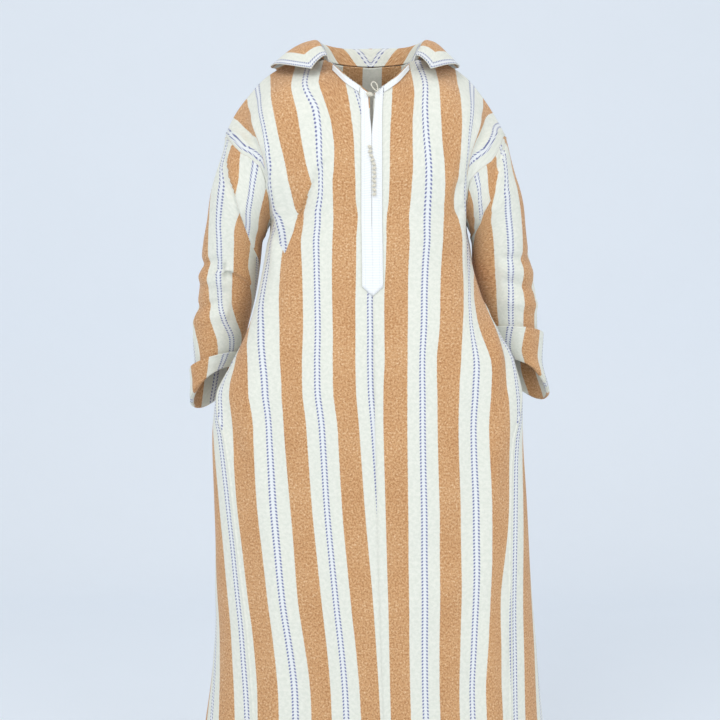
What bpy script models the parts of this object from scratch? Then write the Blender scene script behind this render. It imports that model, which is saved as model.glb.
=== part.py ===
"""A long hooded robe with wide turned-back sleeves, as it hangs on its wearer.

Metres, +Z up, the front faces -Y. The origin is where the wearer's neck holds
the robe up. "right" and "left" are the wearer's own sides: right is -X.

Every cloth piece is a wall of one thickness, built from a surface that a
function gives: the body from sections at heights, the yoke from sections
between the underarm and the shoulder ridge, the sleeves from rings along the
arm, and the hood from profiles round the neck.
"""

import math

import bmesh
import bpy
from mathutils import Vector
from mathutils.bvhtree import BVHTree

# ---------------------------------------------------------------- sizes (m)
CLOTH = 0.0020          # thickness of the cloth
SEAM_GAP = 0.0003       # each piece stops this far from its seam line
HEM_Z = -1.400          # the hem
UNDERARM_Z = -0.300     # the underarm points
RIGHT, LEFT = -1, 1
LEFT_SLIM = 0.905       # the left shoulder stands this much narrower

PLACKET_HALF = 0.0180   # half width of the braid panel on the front slit
PLACKET_TIP_Z = -0.443  # its pointed end
PLACKET_POINT = 0.017   # height of the point
PLACKET_THICK = 0.0012
SLIT_END_Z = -0.168     # the slit is open above this height
SLIT_HALF_TOP = 0.0052  # half its width at the top
LAID_ON = 0.0009        # what lies on a panel stands this far off it

BUTTONS = 12
BUTTON_TOP_Z = -0.187
BUTTON_STEP = 0.0073
BUTTON_R = 0.0032

CUFF_GAP = 0.0030       # between a sleeve and its turned-back cuff
CUFF_FLARE = 0.0060     # how much further the cuff's free edge stands off

# ------------------------------------------------------- the body's sections
BODY_COLUMNS = ("z", "front_y", "side_y", "back_y", "wide_right", "wide_left", "centre_x")
BODY = [
    (-1.400, -0.170, 0.000, 0.178, 0.330, 0.332, 0.027),
    (-1.300, -0.164, 0.000, 0.171, 0.317, 0.322, 0.024),
    (-1.200, -0.159, 0.000, 0.165, 0.302, 0.312, 0.021),
    (-1.100, -0.155, -0.002, 0.159, 0.289, 0.302, 0.0175),
    (-1.000, -0.152, -0.008, 0.154, 0.282, 0.293, 0.0140),
    (-0.900, -0.150, -0.015, 0.150, 0.282, 0.287, 0.0110),
    (-0.800, -0.148, -0.022, 0.147, 0.285, 0.281, 0.0085),
    (-0.700, -0.147, -0.032, 0.144, 0.287, 0.275, 0.0060),
    (-0.620, -0.145, -0.038, 0.138, 0.280, 0.272, 0.0045),
    (-0.560, -0.142, -0.034, 0.130, 0.252, 0.258, 0.0034),
    (-0.500, -0.139, -0.024, 0.124, 0.224, 0.231, 0.0024),
    (-0.440, -0.135, -0.012, 0.120, 0.207, 0.202, 0.0016),
    (-0.380, -0.132, -0.004, 0.120, 0.195, 0.186, 0.0010),
    (-0.300, -0.130, 0.000, 0.125, 0.183, 0.176, 0.0),
]
SQUARE = 0.83           # 1 gives an oval section, less gives a squarer one
BEHIND_ARM_SQUARE = 1.35  # the back half falls away more where the cuffs hang
BEHIND_ARM_Z = (-0.640, -0.400)

# the soft fold that runs down from each shoulder and dies out under the arm,
# with the hollow behind it: height, place round the body, how far out and in
FOLD_COLUMNS = ("z", "ridge_q", "ridge_out", "hollow_in")
FOLD = [
    (-0.460, 0.270, 0.000, 0.000),
    (-0.400, 0.300, 0.003, 0.002),
    (-0.350, 0.330, 0.006, 0.003),
    (-0.300, 0.335, 0.008, 0.002),
]
FOLD_WIDTH = 0.045

# where the front panel's edge runs, and the gore's back edge, as a share of
# the way from centre front to centre back; slit_gap opens the side slit
SIDE_COLUMNS = ("z", "edge_right", "edge_left", "gore_back", "slit_gap")
SIDE = [
    (-1.400, 0.200, 0.235, 0.700, 0.0),
    (-1.200, 0.226, 0.253, 0.680, 0.0),
    (-1.020, 0.268, 0.282, 0.655, 0.0),
    (-0.880, 0.300, 0.302, 0.630, 0.0),
    (-0.760, 0.322, 0.325, 0.605, 0.0),
    (-0.690, 0.345, 0.350, 0.590, 0.0),
    (-0.630, 0.420, 0.420, 0.580, 0.002),
    (-0.580, 0.470, 0.465, 0.570, 0.010),
    (-0.520, 0.490, 0.485, 0.558, 0.014),
    (-0.460, 0.498, 0.495, 0.545, 0.010),
    (-0.410, 0.500, 0.500, 0.530, 0.001),
    (-0.300, 0.500, 0.500, 0.530, 0.0),
]
GORE_TOP_Z = -0.455     # the top of the side panels, behind the slit

# --------------------------------------------------------- the yoke's sections
# key columns across a front half, from the centre front to the armhole:
# s is the column's place, q its place on the body section at the underarm
KEYS = ("centre", "neck_mid", "neck_side", "chest", "fold", "hollow", "arm", "armhole")
KEY_S = (0.0, 0.17, 0.33, 0.50, 0.66, 0.78, 0.90, 1.0)
KEY_Q = (0.0, 0.17, 0.34, 0.50, 0.64, 0.73, 0.82, 1.0)

# out = distance from the centre line, fwd = distance in front of the ridge.
# rise runs from the underarm level (0) to the shoulder ridge or neck (1)
FRONT_COLUMNS = ("rise", "centre_fwd", "neck_mid_out", "neck_mid_fwd", "neck_side_out",
                 "neck_side_fwd", "chest_out", "chest_fwd", "fold_out", "fold_fwd",
                 "hollow_out", "hollow_fwd", "arm_out", "arm_fwd")
FRONT = [
    (0.25, 0.133, 0.062, 0.1320, 0.108, 0.127, 0.1520, 0.1120, 0.1790, 0.095, 0.1815, 0.084, 0.1828, 0.073),
    (0.50, 0.131, 0.057, 0.1290, 0.102, 0.122, 0.1500, 0.1120, 0.1850, 0.101, 0.1900, 0.096, 0.1940, 0.091),
    (0.75, 0.126, 0.051, 0.1150, 0.096, 0.096, 0.1460, 0.0880, 0.1900, 0.078, 0.2070, 0.072, 0.2220, 0.066),
]
BACK_COLUMNS = ("rise", "centre_back", "neck_mid_out", "neck_mid_back", "neck_side_out",
                "neck_side_back", "chest_out", "chest_back", "fold_out", "fold_back",
                "hollow_out", "hollow_back", "arm_out", "arm_back")
BACK = [
    (0.25, 0.128, 0.050, 0.127, 0.098, 0.121, 0.1450, 0.108, 0.1740, 0.088, 0.1820, 0.076, 0.1870, 0.067),
    (0.50, 0.126, 0.046, 0.125, 0.092, 0.116, 0.1430, 0.102, 0.1780, 0.086, 0.1870, 0.080, 0.1950, 0.082),
    (0.75, 0.108, 0.042, 0.104, 0.090, 0.088, 0.1420, 0.078, 0.1840, 0.068, 0.2040, 0.064, 0.2180, 0.064),
]
# the shoulder ridge from the neck to the armhole
RIDGE_COLUMNS = ("key", "out", "z")
RIDGE = [
    ("neck_side", 0.088, 0.000),
    ("chest", 0.140, -0.005),
    ("fold", 0.190, -0.030),
    ("hollow", 0.222, -0.063),
    ("arm", 0.250, -0.101),
    ("armhole", 0.2665, -0.134),
]
# the neckline, from the slit round to the centre back (right side, x as out)
NECK_COLUMNS = ("key", "out", "y", "z")
NECK = [
    ("slit", 0.000, -0.118, -0.090),
    ("v_mid", 0.040, -0.094, -0.056),
    ("v_end", 0.074, -0.058, -0.022),
    ("side", 0.088, 0.000, 0.000),
    ("back_side", 0.062, 0.046, 0.003),
    ("back", 0.000, 0.068, 0.003),
]

# ------------------------------------------------------------------ armholes
ARMHOLE_COLUMNS = ("side", "x", "z", "reach", "tilt_deg")
ARMHOLE = [
    (RIGHT, 0.2252, -0.2170, 0.0925, 63.6),
    (LEFT, 0.2102, -0.2180, 0.0885, 66.0),
]
ARMHOLE_DEPTH = 0.085   # in front of and behind the shoulder
ARMHOLE_BOW_FRONT = 0.030
ARMHOLE_BOW_BACK = 0.014

# ------------------------------------------------------------ sleeves (rings)
# out, y, z: the ring's centre; reach and tilt: towards the outer side;
# depth and lift: towards the front
SLEEVE_COLUMNS = ("w", "out", "y", "z", "reach", "tilt_deg", "depth", "lift_deg")
SLEEVE = {
    RIGHT: [
        (0.15, 0.2415, 0.004, -0.2775, 0.0645, 41.0, 0.0790, 0.0),
        (0.26, 0.2515, 0.014, -0.3185, 0.0536, 18.0, 0.0720, 0.0),
        (0.42, 0.2625, 0.030, -0.3780, 0.0550, 3.0, 0.0670, 2.0),
        (0.58, 0.2720, 0.045, -0.4400, 0.0535, 0.0, 0.0620, 4.0),
        (0.74, 0.2830, 0.053, -0.5000, 0.0510, -6.0, 0.0580, 10.0),
        (0.87, 0.2870, 0.054, -0.5520, 0.0480, -20.0, 0.0540, 18.0),
        (1.00, 0.2960, 0.052, -0.6020, 0.0500, -39.0, 0.0510, 28.0),
    ],
    LEFT: [
        (0.15, 0.2275, 0.004, -0.2750, 0.0624, 46.0, 0.0770, 0.0),
        (0.26, 0.2365, 0.014, -0.3220, 0.0515, 18.0, 0.0710, 0.0),
        (0.42, 0.2455, 0.030, -0.3800, 0.0540, 3.0, 0.0670, 2.0),
        (0.58, 0.2590, 0.045, -0.4400, 0.0515, 0.0, 0.0620, 4.0),
        (0.74, 0.2660, 0.055, -0.4960, 0.0470, -6.0, 0.0570, 10.0),
        (0.87, 0.2745, 0.055, -0.5440, 0.0450, -20.0, 0.0530, 18.0),
        (1.00, 0.2930, 0.050, -0.5860, 0.0490, -39.0, 0.0510, 28.0),
    ],
}
CUFF_HEIGHT = {RIGHT: 0.050, LEFT: 0.066}

# -------------------------------------------------------------- hood profiles
# each row is one profile, from the front end of the neck seam to the centre
# back; each point is out, y, z: the seam, the roll's top, the inner layer,
# the fold, the outer layer and the free edge
HOOD_COLUMNS = ("seam", "top", "inner", "fold", "outer", "edge")
HOOD = [
    ((0.0740, -0.058, -0.022), (0.0775, -0.066, -0.010), (0.0850, -0.074, -0.012), (0.0930, -0.081, -0.020), (0.1000, -0.087, -0.029), (0.1060, -0.092, -0.039)),
    ((0.0830, -0.032, -0.010), (0.0900, -0.037, 0.018), (0.1060, -0.044, 0.018), (0.1270, -0.050, 0.008), (0.1480, -0.055, -0.006), (0.1660, -0.059, -0.022)),
    ((0.0880, 0.000, 0.000), (0.0960, 0.000, 0.034), (0.1170, 0.000, 0.031), (0.1420, 0.002, 0.016), (0.1650, 0.004, 0.003), (0.1850, 0.006, -0.011)),
    ((0.0760, 0.032, 0.002), (0.0840, 0.042, 0.040), (0.1150, 0.062, 0.016), (0.1560, 0.088, -0.042), (0.1690, 0.101, -0.026), (0.1620, 0.088, 0.004)),
    ((0.0450, 0.058, 0.003), (0.0510, 0.074, 0.041), (0.0860, 0.119, -0.046), (0.1200, 0.147, -0.180), (0.1060, 0.184, -0.115), (0.0900, 0.160, -0.014)),
    ((0.0000, 0.068, 0.003), (0.0000, 0.088, 0.040), (0.0000, 0.141, -0.110), (0.0000, 0.152, -0.400), (0.0000, 0.200, -0.230), (0.0000, 0.184, -0.038)),
]
HOOD_LIFT = 0.0030      # the hood's seam edge stands over the neckline


# ------------------------------------------------------------------- helpers
def hermite(xs, ys, x):
    """A smooth curve through the points that doesn't overshoot them."""
    n = len(xs)
    if x <= xs[0]:
        return ys[0]
    if x >= xs[-1]:
        return ys[-1]
    i = max(k for k in range(n - 1) if xs[k] <= x)
    slope = [(ys[k + 1] - ys[k]) / (xs[k + 1] - xs[k]) for k in range(n - 1)]

    def tangent(k):
        if k == 0:
            return slope[0]
        if k == n - 1:
            return slope[-1]
        a, b = slope[k - 1], slope[k]
        if a * b <= 0:
            return 0.0
        return 2 * a * b / (a + b)

    h = xs[i + 1] - xs[i]
    t = (x - xs[i]) / h
    m0, m1 = tangent(i) * h, tangent(i + 1) * h
    return ((2 * t**3 - 3 * t**2 + 1) * ys[i] + (t**3 - 2 * t**2 + t) * m0
            + (3 * t**2 - 2 * t**3) * ys[i + 1] + (t**3 - t**2) * m1)


def read(table, columns, key, x, name):
    """One named column of a table, at x in its key column."""
    k, c = columns.index(key), columns.index(name)
    return hermite([row[k] for row in table], [row[c] for row in table], x)


def through(points, t):
    """A smooth curve through evenly keyed points, t from 0 to 1."""
    n = len(points) - 1
    x = min(max(t, 0.0), 1.0) * n
    i = min(int(x), n - 1)
    f = x - i
    p1, p2 = Vector(points[i]), Vector(points[i + 1])
    p0 = Vector(points[i - 1]) if i > 0 else p1 * 2 - p2
    p3 = Vector(points[i + 2]) if i + 2 <= n else p2 * 2 - p1
    return 0.5 * ((2 * p1) + (p2 - p0) * f + (2 * p0 - 5 * p1 + 4 * p2 - p3) * f * f
                  + (3 * p1 - p0 - 3 * p2 + p3) * f**3)


def smooth(a, b, x):
    t = min(max((x - a) / (b - a), 0.0), 1.0)
    return t * t * (3 - 2 * t)


def slim(side, s):
    """How far out a point stands, as the left shoulder is narrower."""
    return 1.0 if side == RIGHT else 1.0 - (1.0 - LEFT_SLIM) * smooth(0.1, 0.62, s)


# ------------------------------------------------------------------ surfaces
def body_point(side, q, z):
    """The body below the underarms: q runs from centre front to centre back."""
    get = lambda name: read(BODY, BODY_COLUMNS, "z", z, name)
    wide = get("wide_right" if side == RIGHT else "wide_left")
    a = math.pi * q
    end_y = get("front_y") if q <= 0.5 else get("back_y")
    square = SQUARE
    if q > 0.5:
        low, high = BEHIND_ARM_Z
        square += (BEHIND_ARM_SQUARE - SQUARE) * smooth(low - 0.14, low, z) * (1 - smooth(high, high + 0.1, z))
    out = wide * abs(math.sin(a)) ** square
    y = get("side_y") + (end_y - get("side_y")) * abs(math.cos(a)) ** SQUARE
    if q < 0.5 and z > FOLD[0][0]:
        ridge_q = read(FOLD, FOLD_COLUMNS, "z", z, "ridge_q")
        push = read(FOLD, FOLD_COLUMNS, "z", z, "ridge_out") * math.exp(-((q - ridge_q) / FOLD_WIDTH) ** 2)
        push -= read(FOLD, FOLD_COLUMNS, "z", z, "hollow_in") * math.exp(-((q - ridge_q - 0.075) / FOLD_WIDTH) ** 2)
        out += push * math.sin(a)
        y -= push * math.cos(a)
    lean = get("centre_x") * (1 - math.sin(a)) if q < 0.5 else 0.0
    return Vector((side * out + lean, y, z))


def neck_point(side, name_or_k):
    row = NECK[name_or_k]
    return Vector((side * row[1], row[2], row[3]))


def armhole_point(side, phi):
    """The armhole seam: 0 at the shoulder's end, 90 at the front, 180 under the arm."""
    _, x, z, reach, tilt = next(r for r in ARMHOLE if r[0] == side)
    a, t = math.radians(phi), math.radians(tilt)
    bow = (ARMHOLE_BOW_FRONT if math.sin(a) > 0 else ARMHOLE_BOW_BACK)
    bow *= abs(math.sin(a)) ** (1.0 if math.cos(a) > 0 else 2.0)
    out = x + reach * math.cos(t) * math.cos(a) - bow * math.sin(t)
    up = z + reach * math.sin(t) * math.cos(a) + bow * math.cos(t)
    return Vector((side * out, -ARMHOLE_DEPTH * math.sin(a), up))


def yoke_row(side, face, rise):
    """The key points of one row of the yoke. face is -1 for the front, 1 for the back."""
    level = [body_point(side, 0.5 * q if face < 0 else 1 - 0.5 * q, UNDERARM_Z) for q in KEY_Q]
    if face < 0:
        top = [neck_point(side, 0), neck_point(side, 1)]
    else:
        top = [neck_point(side, 5), neck_point(side, 4)]
    for key, out, z in RIDGE:
        s = KEY_S[KEYS.index(key)]
        top.append(Vector((side * out * slim(side, s), 0.0, z)))
    top[-1], level[-1] = armhole_point(side, 0), armhole_point(side, 180)
    if rise <= 0:
        return level
    if rise >= 1:
        return top
    table, columns, word = (FRONT, FRONT_COLUMNS, "fwd") if face < 0 else (BACK, BACK_COLUMNS, "back")
    rows = [0.0] + [r[0] for r in table] + [1.0]
    made = []
    for k, key in enumerate(KEYS):
        if key == "armhole":
            made.append(armhole_point(side, -face * 180 * (1 - rise)))
            continue
        word_at = columns.index(f"{key}_{word}")
        ys = [level[k].y] + [face * r[word_at] for r in table] + [top[k].y]
        if key == "centre":
            xs = [level[k].x] + [0.0] * len(table) + [top[k].x]
        else:
            out_at = columns.index(f"{key}_out")
            xs = [level[k].x] + [side * r[out_at] * slim(side, KEY_S[k]) for r in table] + [top[k].x]
        z = level[k].z + (top[k].z - level[k].z) * rise
        made.append(Vector((hermite(rows, xs, rise), hermite(rows, ys, rise), z)))
    return made


def across(keys, s):
    """A point at s on the smooth line through a row's key points."""
    return Vector([hermite(KEY_S, [p[a] for p in keys], s) if a else
                   hermite(KEY_S, [p[0] for p in keys], s) for a in range(3)])


_rows = {}


def panel_point(side, face, s, v):
    """The front or back: v from 0 at the hem to 1 at the underarms to 2 at the ridge."""
    if v >= 1.0:
        key = (side, face, round(v, 6))
        if key not in _rows:
            _rows[key] = yoke_row(side, face, v - 1.0)
        return across(_rows[key], s)
    z = HEM_Z + (UNDERARM_Z - HEM_Z) * v
    q = 0.5 * hermite(KEY_S, KEY_Q, s)
    p = body_point(side, q if face < 0 else 1 - q, z)
    if v > 0.96:  # the last stretch meets the yoke's own underarm point
        key = (side, face, "level")
        if key not in _rows:
            _rows[key] = yoke_row(side, face, 0.0)
        p = p.lerp(across(_rows[key], s) + Vector((0, 0, z - UNDERARM_Z)), smooth(0.96, 1.0, v))
    return p


def ring_frame(side, w):
    get = lambda name: read(SLEEVE[side], SLEEVE_COLUMNS, "w", w, name)
    tilt, lift = math.radians(get("tilt_deg")), math.radians(get("lift_deg"))
    centre = Vector((side * get("out"), get("y"), get("z")))
    outer = Vector((side * math.cos(tilt), 0, math.sin(tilt))) * get("reach")
    front = Vector((0, -math.cos(lift), math.sin(lift))) * get("depth")
    return centre, outer, front


def sleeve_point(side, phi, w, off=0.0):
    """The sleeve: w from the armhole to the wrist, phi as on the armhole; off stands it off."""
    a = math.radians(phi)
    first = SLEEVE[side][0][0]
    centre, outer, front = ring_frame(side, max(w, first))
    place = centre + outer * (1 + off / outer.length) * math.cos(a) + front * (1 + off / front.length) * math.sin(a)
    if w < first:
        place = armhole_point(side, phi).lerp(place, smooth(0, 1, w / first) * 0.35 + 0.65 * w / first)
    return place


def hood_point(psi, r):
    """The hood: psi from the right front end (0) round the back (0.5) to the left one (1)."""
    side, u = (RIGHT, 2 * psi) if psi <= 0.5 else (LEFT, 2 - 2 * psi)
    n = len(HOOD) - 1
    x = min(max(u, 0.0), 1.0) * n
    i = min(int(x), n - 1)
    f = x - i
    rows = []
    for k in (i - 1, i, i + 1, i + 2):
        if k > n:  # across the centre back the profiles mirror
            rows.append([(-p[0], p[1], p[2]) for p in HOOD[2 * n - k]])
        else:
            rows.append([tuple(p) for p in HOOD[max(k, 0)]])
    profile = [through([rows[m][c] for m in range(4)], (1 + f) / 3) for c in range(len(HOOD_COLUMNS))]
    p = through(profile, r)
    scale = 1.0 if side == RIGHT else 1.0 - 0.12 * smooth(0.09, 0.16, p.x)
    lift = HOOD_LIFT * (1 - smooth(0.0, 0.15, r))
    return Vector((side * p.x * scale, p.y, p.z + lift))


# --------------------------------------------------------------------- walls
def normal_at(surface, a, b, step_a, step_b):
    da = surface(a + step_a, b) - surface(a - step_a, b)
    db = surface(a, b + step_b) - surface(a, b - step_b)
    n = da.cross(db)
    return n.normalized() if n.length > 1e-12 else Vector((0, 0, 1))


def material(name, colour, roughness):
    m = bpy.data.materials.new(name)
    m.use_nodes = True
    shader = m.node_tree.nodes["Principled BSDF"]
    shader.inputs["Base Color"].default_value = (*colour, 1)
    shader.inputs["Roughness"].default_value = roughness
    shader.inputs["Metallic"].default_value = 0.0
    return m


def add_object(name, bm, mat):
    bmesh.ops.recalc_face_normals(bm, faces=bm.faces)
    if bm.calc_volume(signed=True) < 0:
        bmesh.ops.reverse_faces(bm, faces=bm.faces)
    mesh = bpy.data.meshes.new(name)
    bm.to_mesh(mesh)
    bm.free()
    mesh.shade_smooth()
    mesh.set_sharp_from_angle(angle=math.radians(40))
    mesh.materials.append(mat)
    obj = bpy.data.objects.new(name, mesh)
    bpy.context.scene.collection.objects.link(obj)
    return obj


def halves(p, i, j, k):
    """The two triangles of one cell of a grid, split along its shorter diagonal, as (row, column)."""
    if (p[i][j] - p[i + 1][k]).length <= (p[i][k] - p[i + 1][j]).length:
        return ((i, j), (i, k), (i + 1, k)), ((i, j), (i + 1, k), (i + 1, j))
    return ((i, j), (i, k), (i + 1, j)), ((i, k), (i + 1, k), (i + 1, j))


def wall(name, points, normals, mat, thick=CLOTH, closed=False, lift=0.0):
    """A closed wall between a grid of points and the same grid moved along its normals."""
    bm = bmesh.new()
    rows, cols = len(points), len(points[0])
    face_a = [[bm.verts.new(p + n * lift) for p, n in zip(pr, nr)] for pr, nr in zip(points, normals)]
    face_b = [[bm.verts.new(p + n * (lift - thick)) for p, n in zip(pr, nr)] for pr, nr in zip(points, normals)]
    span = cols if closed else cols - 1
    for i in range(rows - 1):
        for j in range(span):
            k = (j + 1) % cols
            for half in halves(points, i, j, k):
                bm.faces.new([face_a[r][c] for r, c in half])
                bm.faces.new([face_b[r][c] for r, c in half])
    for j in range(span):
        k = (j + 1) % cols
        bm.faces.new((face_a[0][j], face_b[0][j], face_b[0][k], face_a[0][k]))
        bm.faces.new((face_a[-1][j], face_a[-1][k], face_b[-1][k], face_b[-1][j]))
    if not closed:
        for i in range(rows - 1):
            bm.faces.new((face_a[i][0], face_a[i + 1][0], face_b[i + 1][0], face_b[i][0]))
            bm.faces.new((face_a[i][-1], face_b[i][-1], face_b[i + 1][-1], face_a[i + 1][-1]))
    return add_object(name, bm, mat)


def slit_half(z):
    """Half the width of the open slit at a height."""
    return SLIT_HALF_TOP * smooth(SLIT_END_Z, -0.100, z)


def trimmed(points, row, col, distance_in):
    """Moves one end of a row in by a distance along the row."""
    a, b = points[row][col], points[row][1 if col == 0 else -2]
    points[row][col] = a + (b - a).normalized() * distance_in


def outward(side, face, s, v):
    """The outward normal of a front or back panel."""
    surface = lambda a, b: panel_point(side, face, a, b)
    if 0.95 < v < 1.25:  # the surface has a corner at the underarm point
        s = min(s, 0.86)
    n = normal_at(surface, min(max(s, 0.004), 0.996), min(max(v, 0.01), 1.985), 0.003, 0.004)
    return n if side * face < 0 else -n


def meeting_normal(side, s, v):
    """The normal that the front and back share along the shoulder ridge and the side seam."""
    return (outward(side, -1, s, v) + outward(side, 1, s, v)).normalized()


def sleeve_normal(side, phi, w):
    surface = lambda a, b: sleeve_point(side, a, b)
    n = normal_at(surface, phi, min(max(w, 0.012), 0.985), 1.5, 0.01)
    centre = ring_frame(side, max(w, SLEEVE[side][0][0]))[0]
    return n if n.dot(sleeve_point(side, phi, w) - centre) > 0 else -n


def seam_normals(side, phi, face, v):
    """The panel's and the sleeve's normals at the armhole, mitred where they meet at an open angle."""
    a, b = outward(side, face, 0.99, v), sleeve_normal(side, phi, 0.02)
    share = smooth(-0.35, 0.25, a.dot(b))
    both = (a + b).normalized() if (a + b).length > 0.2 else a
    return a.lerp(both, share).normalized(), b.lerp(both, share).normalized()


def edge_s(side, v):
    """Where a front panel's outer edge runs, as its place s, below the underarm."""
    z = HEM_Z + (UNDERARM_Z - HEM_Z) * min(v, 1.0)
    q = read(SIDE, SIDE_COLUMNS, "z", z, "edge_right" if side == RIGHT else "edge_left")
    return hermite(KEY_Q, KEY_S, min(q / 0.5, 1.0))


GORE_TOP_V = (GORE_TOP_Z - HEM_Z) / (UNDERARM_Z - HEM_Z)
PANEL_V = [0.0, 0.12, 0.24, 0.36, 0.46, 0.55, 0.635, 0.70, 0.755, 0.81, GORE_TOP_V, 0.91, 0.96,
           1.0, 1.1, 1.2, 1.3, 1.4, 1.5, 1.6, 1.7, 1.8, 1.9, 2.0]
PANEL_S = [0.0, 0.10, 0.20, 0.30, 0.42, 0.53, 0.64, 0.73, 0.82, 0.91, 1.0]


_outside = {}


def on_panel(side, p, n):
    """The spot on a front panel's outer face in line with p along n."""
    hit = _outside[side].ray_cast(p + n * 0.03, -n, 0.06)[0]
    return hit if hit else p


def front_panel(side, mat):
    points, normals = [], []
    for v in PANEL_V:
        limit = edge_s(side, v) if v < 1.0 else 1.0
        row, nrow = [], []
        for s in PANEL_S:
            at = s * limit
            row.append(panel_point(side, -1, at, v))
            nrow.append(outward(side, -1, at, v))
        points.append(row)
        normals.append(nrow)
    for i, v in enumerate(PANEL_V):
        centre = points[i][0]
        points[i][0] = centre + Vector((side * (SEAM_GAP + slit_half(centre.z)), 0, 0))
        normals[i][0] = Vector((0, normals[i][0].y, normals[i][0].z)).normalized()
        trimmed(points, i, -1, SEAM_GAP)
        if v >= 1.0:
            normals[i][-1] = seam_normals(side, 180 * (2.0 - v), -1, min(v, 1.98))[0]
        if GORE_TOP_V < v <= 1.0:
            normals[i][-1] = meeting_normal(side, 1.0, min(v, 0.97))
    for j, s in enumerate(PANEL_S):
        if s >= 0.33:
            normals[-1][j] = meeting_normal(side, s, 2.0)
    # the ridge edge and the armhole stop short of the back panel and the sleeve
    for j in range(len(PANEL_S)):
        low, high = points[-2][j], points[-1][j]
        points[-1][j] = high + (low - high).normalized() * SEAM_GAP
    for i, v in enumerate(PANEL_V):
        if v > 1.0:
            phi = 180 * (2.0 - v)
            along = (sleeve_point(side, phi, 0.05) - sleeve_point(side, phi, 0.0)).normalized()
            points[i][-1] = points[i][-1] - along * SEAM_GAP
    cols = len(PANEL_S)
    faces = [tuple(r * cols + c for r, c in half) for i in range(len(points) - 1)
             for j in range(cols - 1) for half in halves(points, i, j, j + 1)]
    _outside[side] = BVHTree.FromPolygons([p for row in points for p in row], faces)
    return wall("front_right" if side == RIGHT else "front_left", points, normals, mat)


def back_edge_s(side, v):
    z = HEM_Z + (UNDERARM_Z - HEM_Z) * min(v, 1.0)
    if z > GORE_TOP_Z + 1e-6:
        return 1.0
    q = read(SIDE, SIDE_COLUMNS, "z", z, "gore_back")
    return hermite(KEY_Q, KEY_S, min((1 - q) / 0.5, 1.0))


BACK_S = [0.0, 0.16, 0.31, 0.45, 0.58, 0.70, 0.80, 0.90, 1.0]


def back_panel(mat):
    points, normals = [], []
    for i, v in enumerate(PANEL_V):
        row, nrow = [], []
        for side in (RIGHT, LEFT):
            limit = back_edge_s(side, v) if v < 1.0 else 1.0
            half, nhalf = [], []
            for s in BACK_S:
                at = s * limit
                half.append(panel_point(side, 1, at, v))
                nhalf.append(outward(side, 1, at, v))
            half[-1] = half[-1] + (half[-2] - half[-1]).normalized() * SEAM_GAP
            if v >= 1.0:
                nhalf[-1] = seam_normals(side, -180 * (2.0 - v), 1, min(v, 1.98))[0]
            if GORE_TOP_V < v <= 1.0:
                nhalf[-1] = meeting_normal(side, 1.0, min(v, 0.97))
            if v == PANEL_V[-1]:
                nhalf = [meeting_normal(side, s, v) if s >= 0.33 else n for s, n in zip(BACK_S, nhalf)]
            if v > 1.0:
                phi = -180 * (2.0 - v)
                along = (sleeve_point(side, phi, 0.05) - sleeve_point(side, phi, 0.0)).normalized()
                half[-1] = half[-1] - along * SEAM_GAP
            nhalf[0] = Vector((0, nhalf[0].y, nhalf[0].z)).normalized()
            if side == RIGHT:
                row, nrow = half[::-1], nhalf[::-1]
            else:
                row, nrow = row + half[1:], nrow + nhalf[1:]
        points.append(row)
        normals.append(nrow)
    for j in range(len(points[0])):
        low, high = points[-2][j], points[-1][j]
        points[-1][j] = high + (low - high).normalized() * SEAM_GAP
    return wall("back", points, normals, mat)


def gore(side, mat):
    """The side panel: a long wedge from the side slit down to the hem."""
    vs = [v for v in PANEL_V if v <= GORE_TOP_V]
    points, normals = [], []
    for v in vs:
        z = HEM_Z + (UNDERARM_Z - HEM_Z) * v
        name = "edge_right" if side == RIGHT else "edge_left"
        surface = lambda a, b: body_point(side, a, HEM_Z + (UNDERARM_Z - HEM_Z) * b)
        q0 = read(SIDE, SIDE_COLUMNS, "z", z, name)
        q1 = read(SIDE, SIDE_COLUMNS, "z", z, "gore_back")
        round_m = (surface(q0 + 0.01, v) - surface(q0, v)).length / 0.01
        q0 += read(SIDE, SIDE_COLUMNS, "z", z, "slit_gap") / round_m
        row, nrow = [], []
        for k in range(8):
            q = q0 + (q1 - q0) * k / 7
            row.append(surface(q, v))
            n = normal_at(surface, q, v, 0.004, 0.004)
            nrow.append(n if n.x * side > 0 or abs(n.x) < 0.3 and n.y * (q - 0.5) > 0 else -n)
        points.append(row)
        normals.append(nrow)
        trimmed(points, -1, 0, SEAM_GAP)
        trimmed(points, -1, -1, SEAM_GAP)
    return wall("gore_right" if side == RIGHT else "gore_left", points, normals, mat)


SLEEVE_W = [0.0, 0.07, 0.15, 0.26, 0.38, 0.50, 0.62, 0.74, 0.87, 1.0]
SLEEVE_COLS = 20        # its columns meet the panels' rows at the armhole


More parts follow.
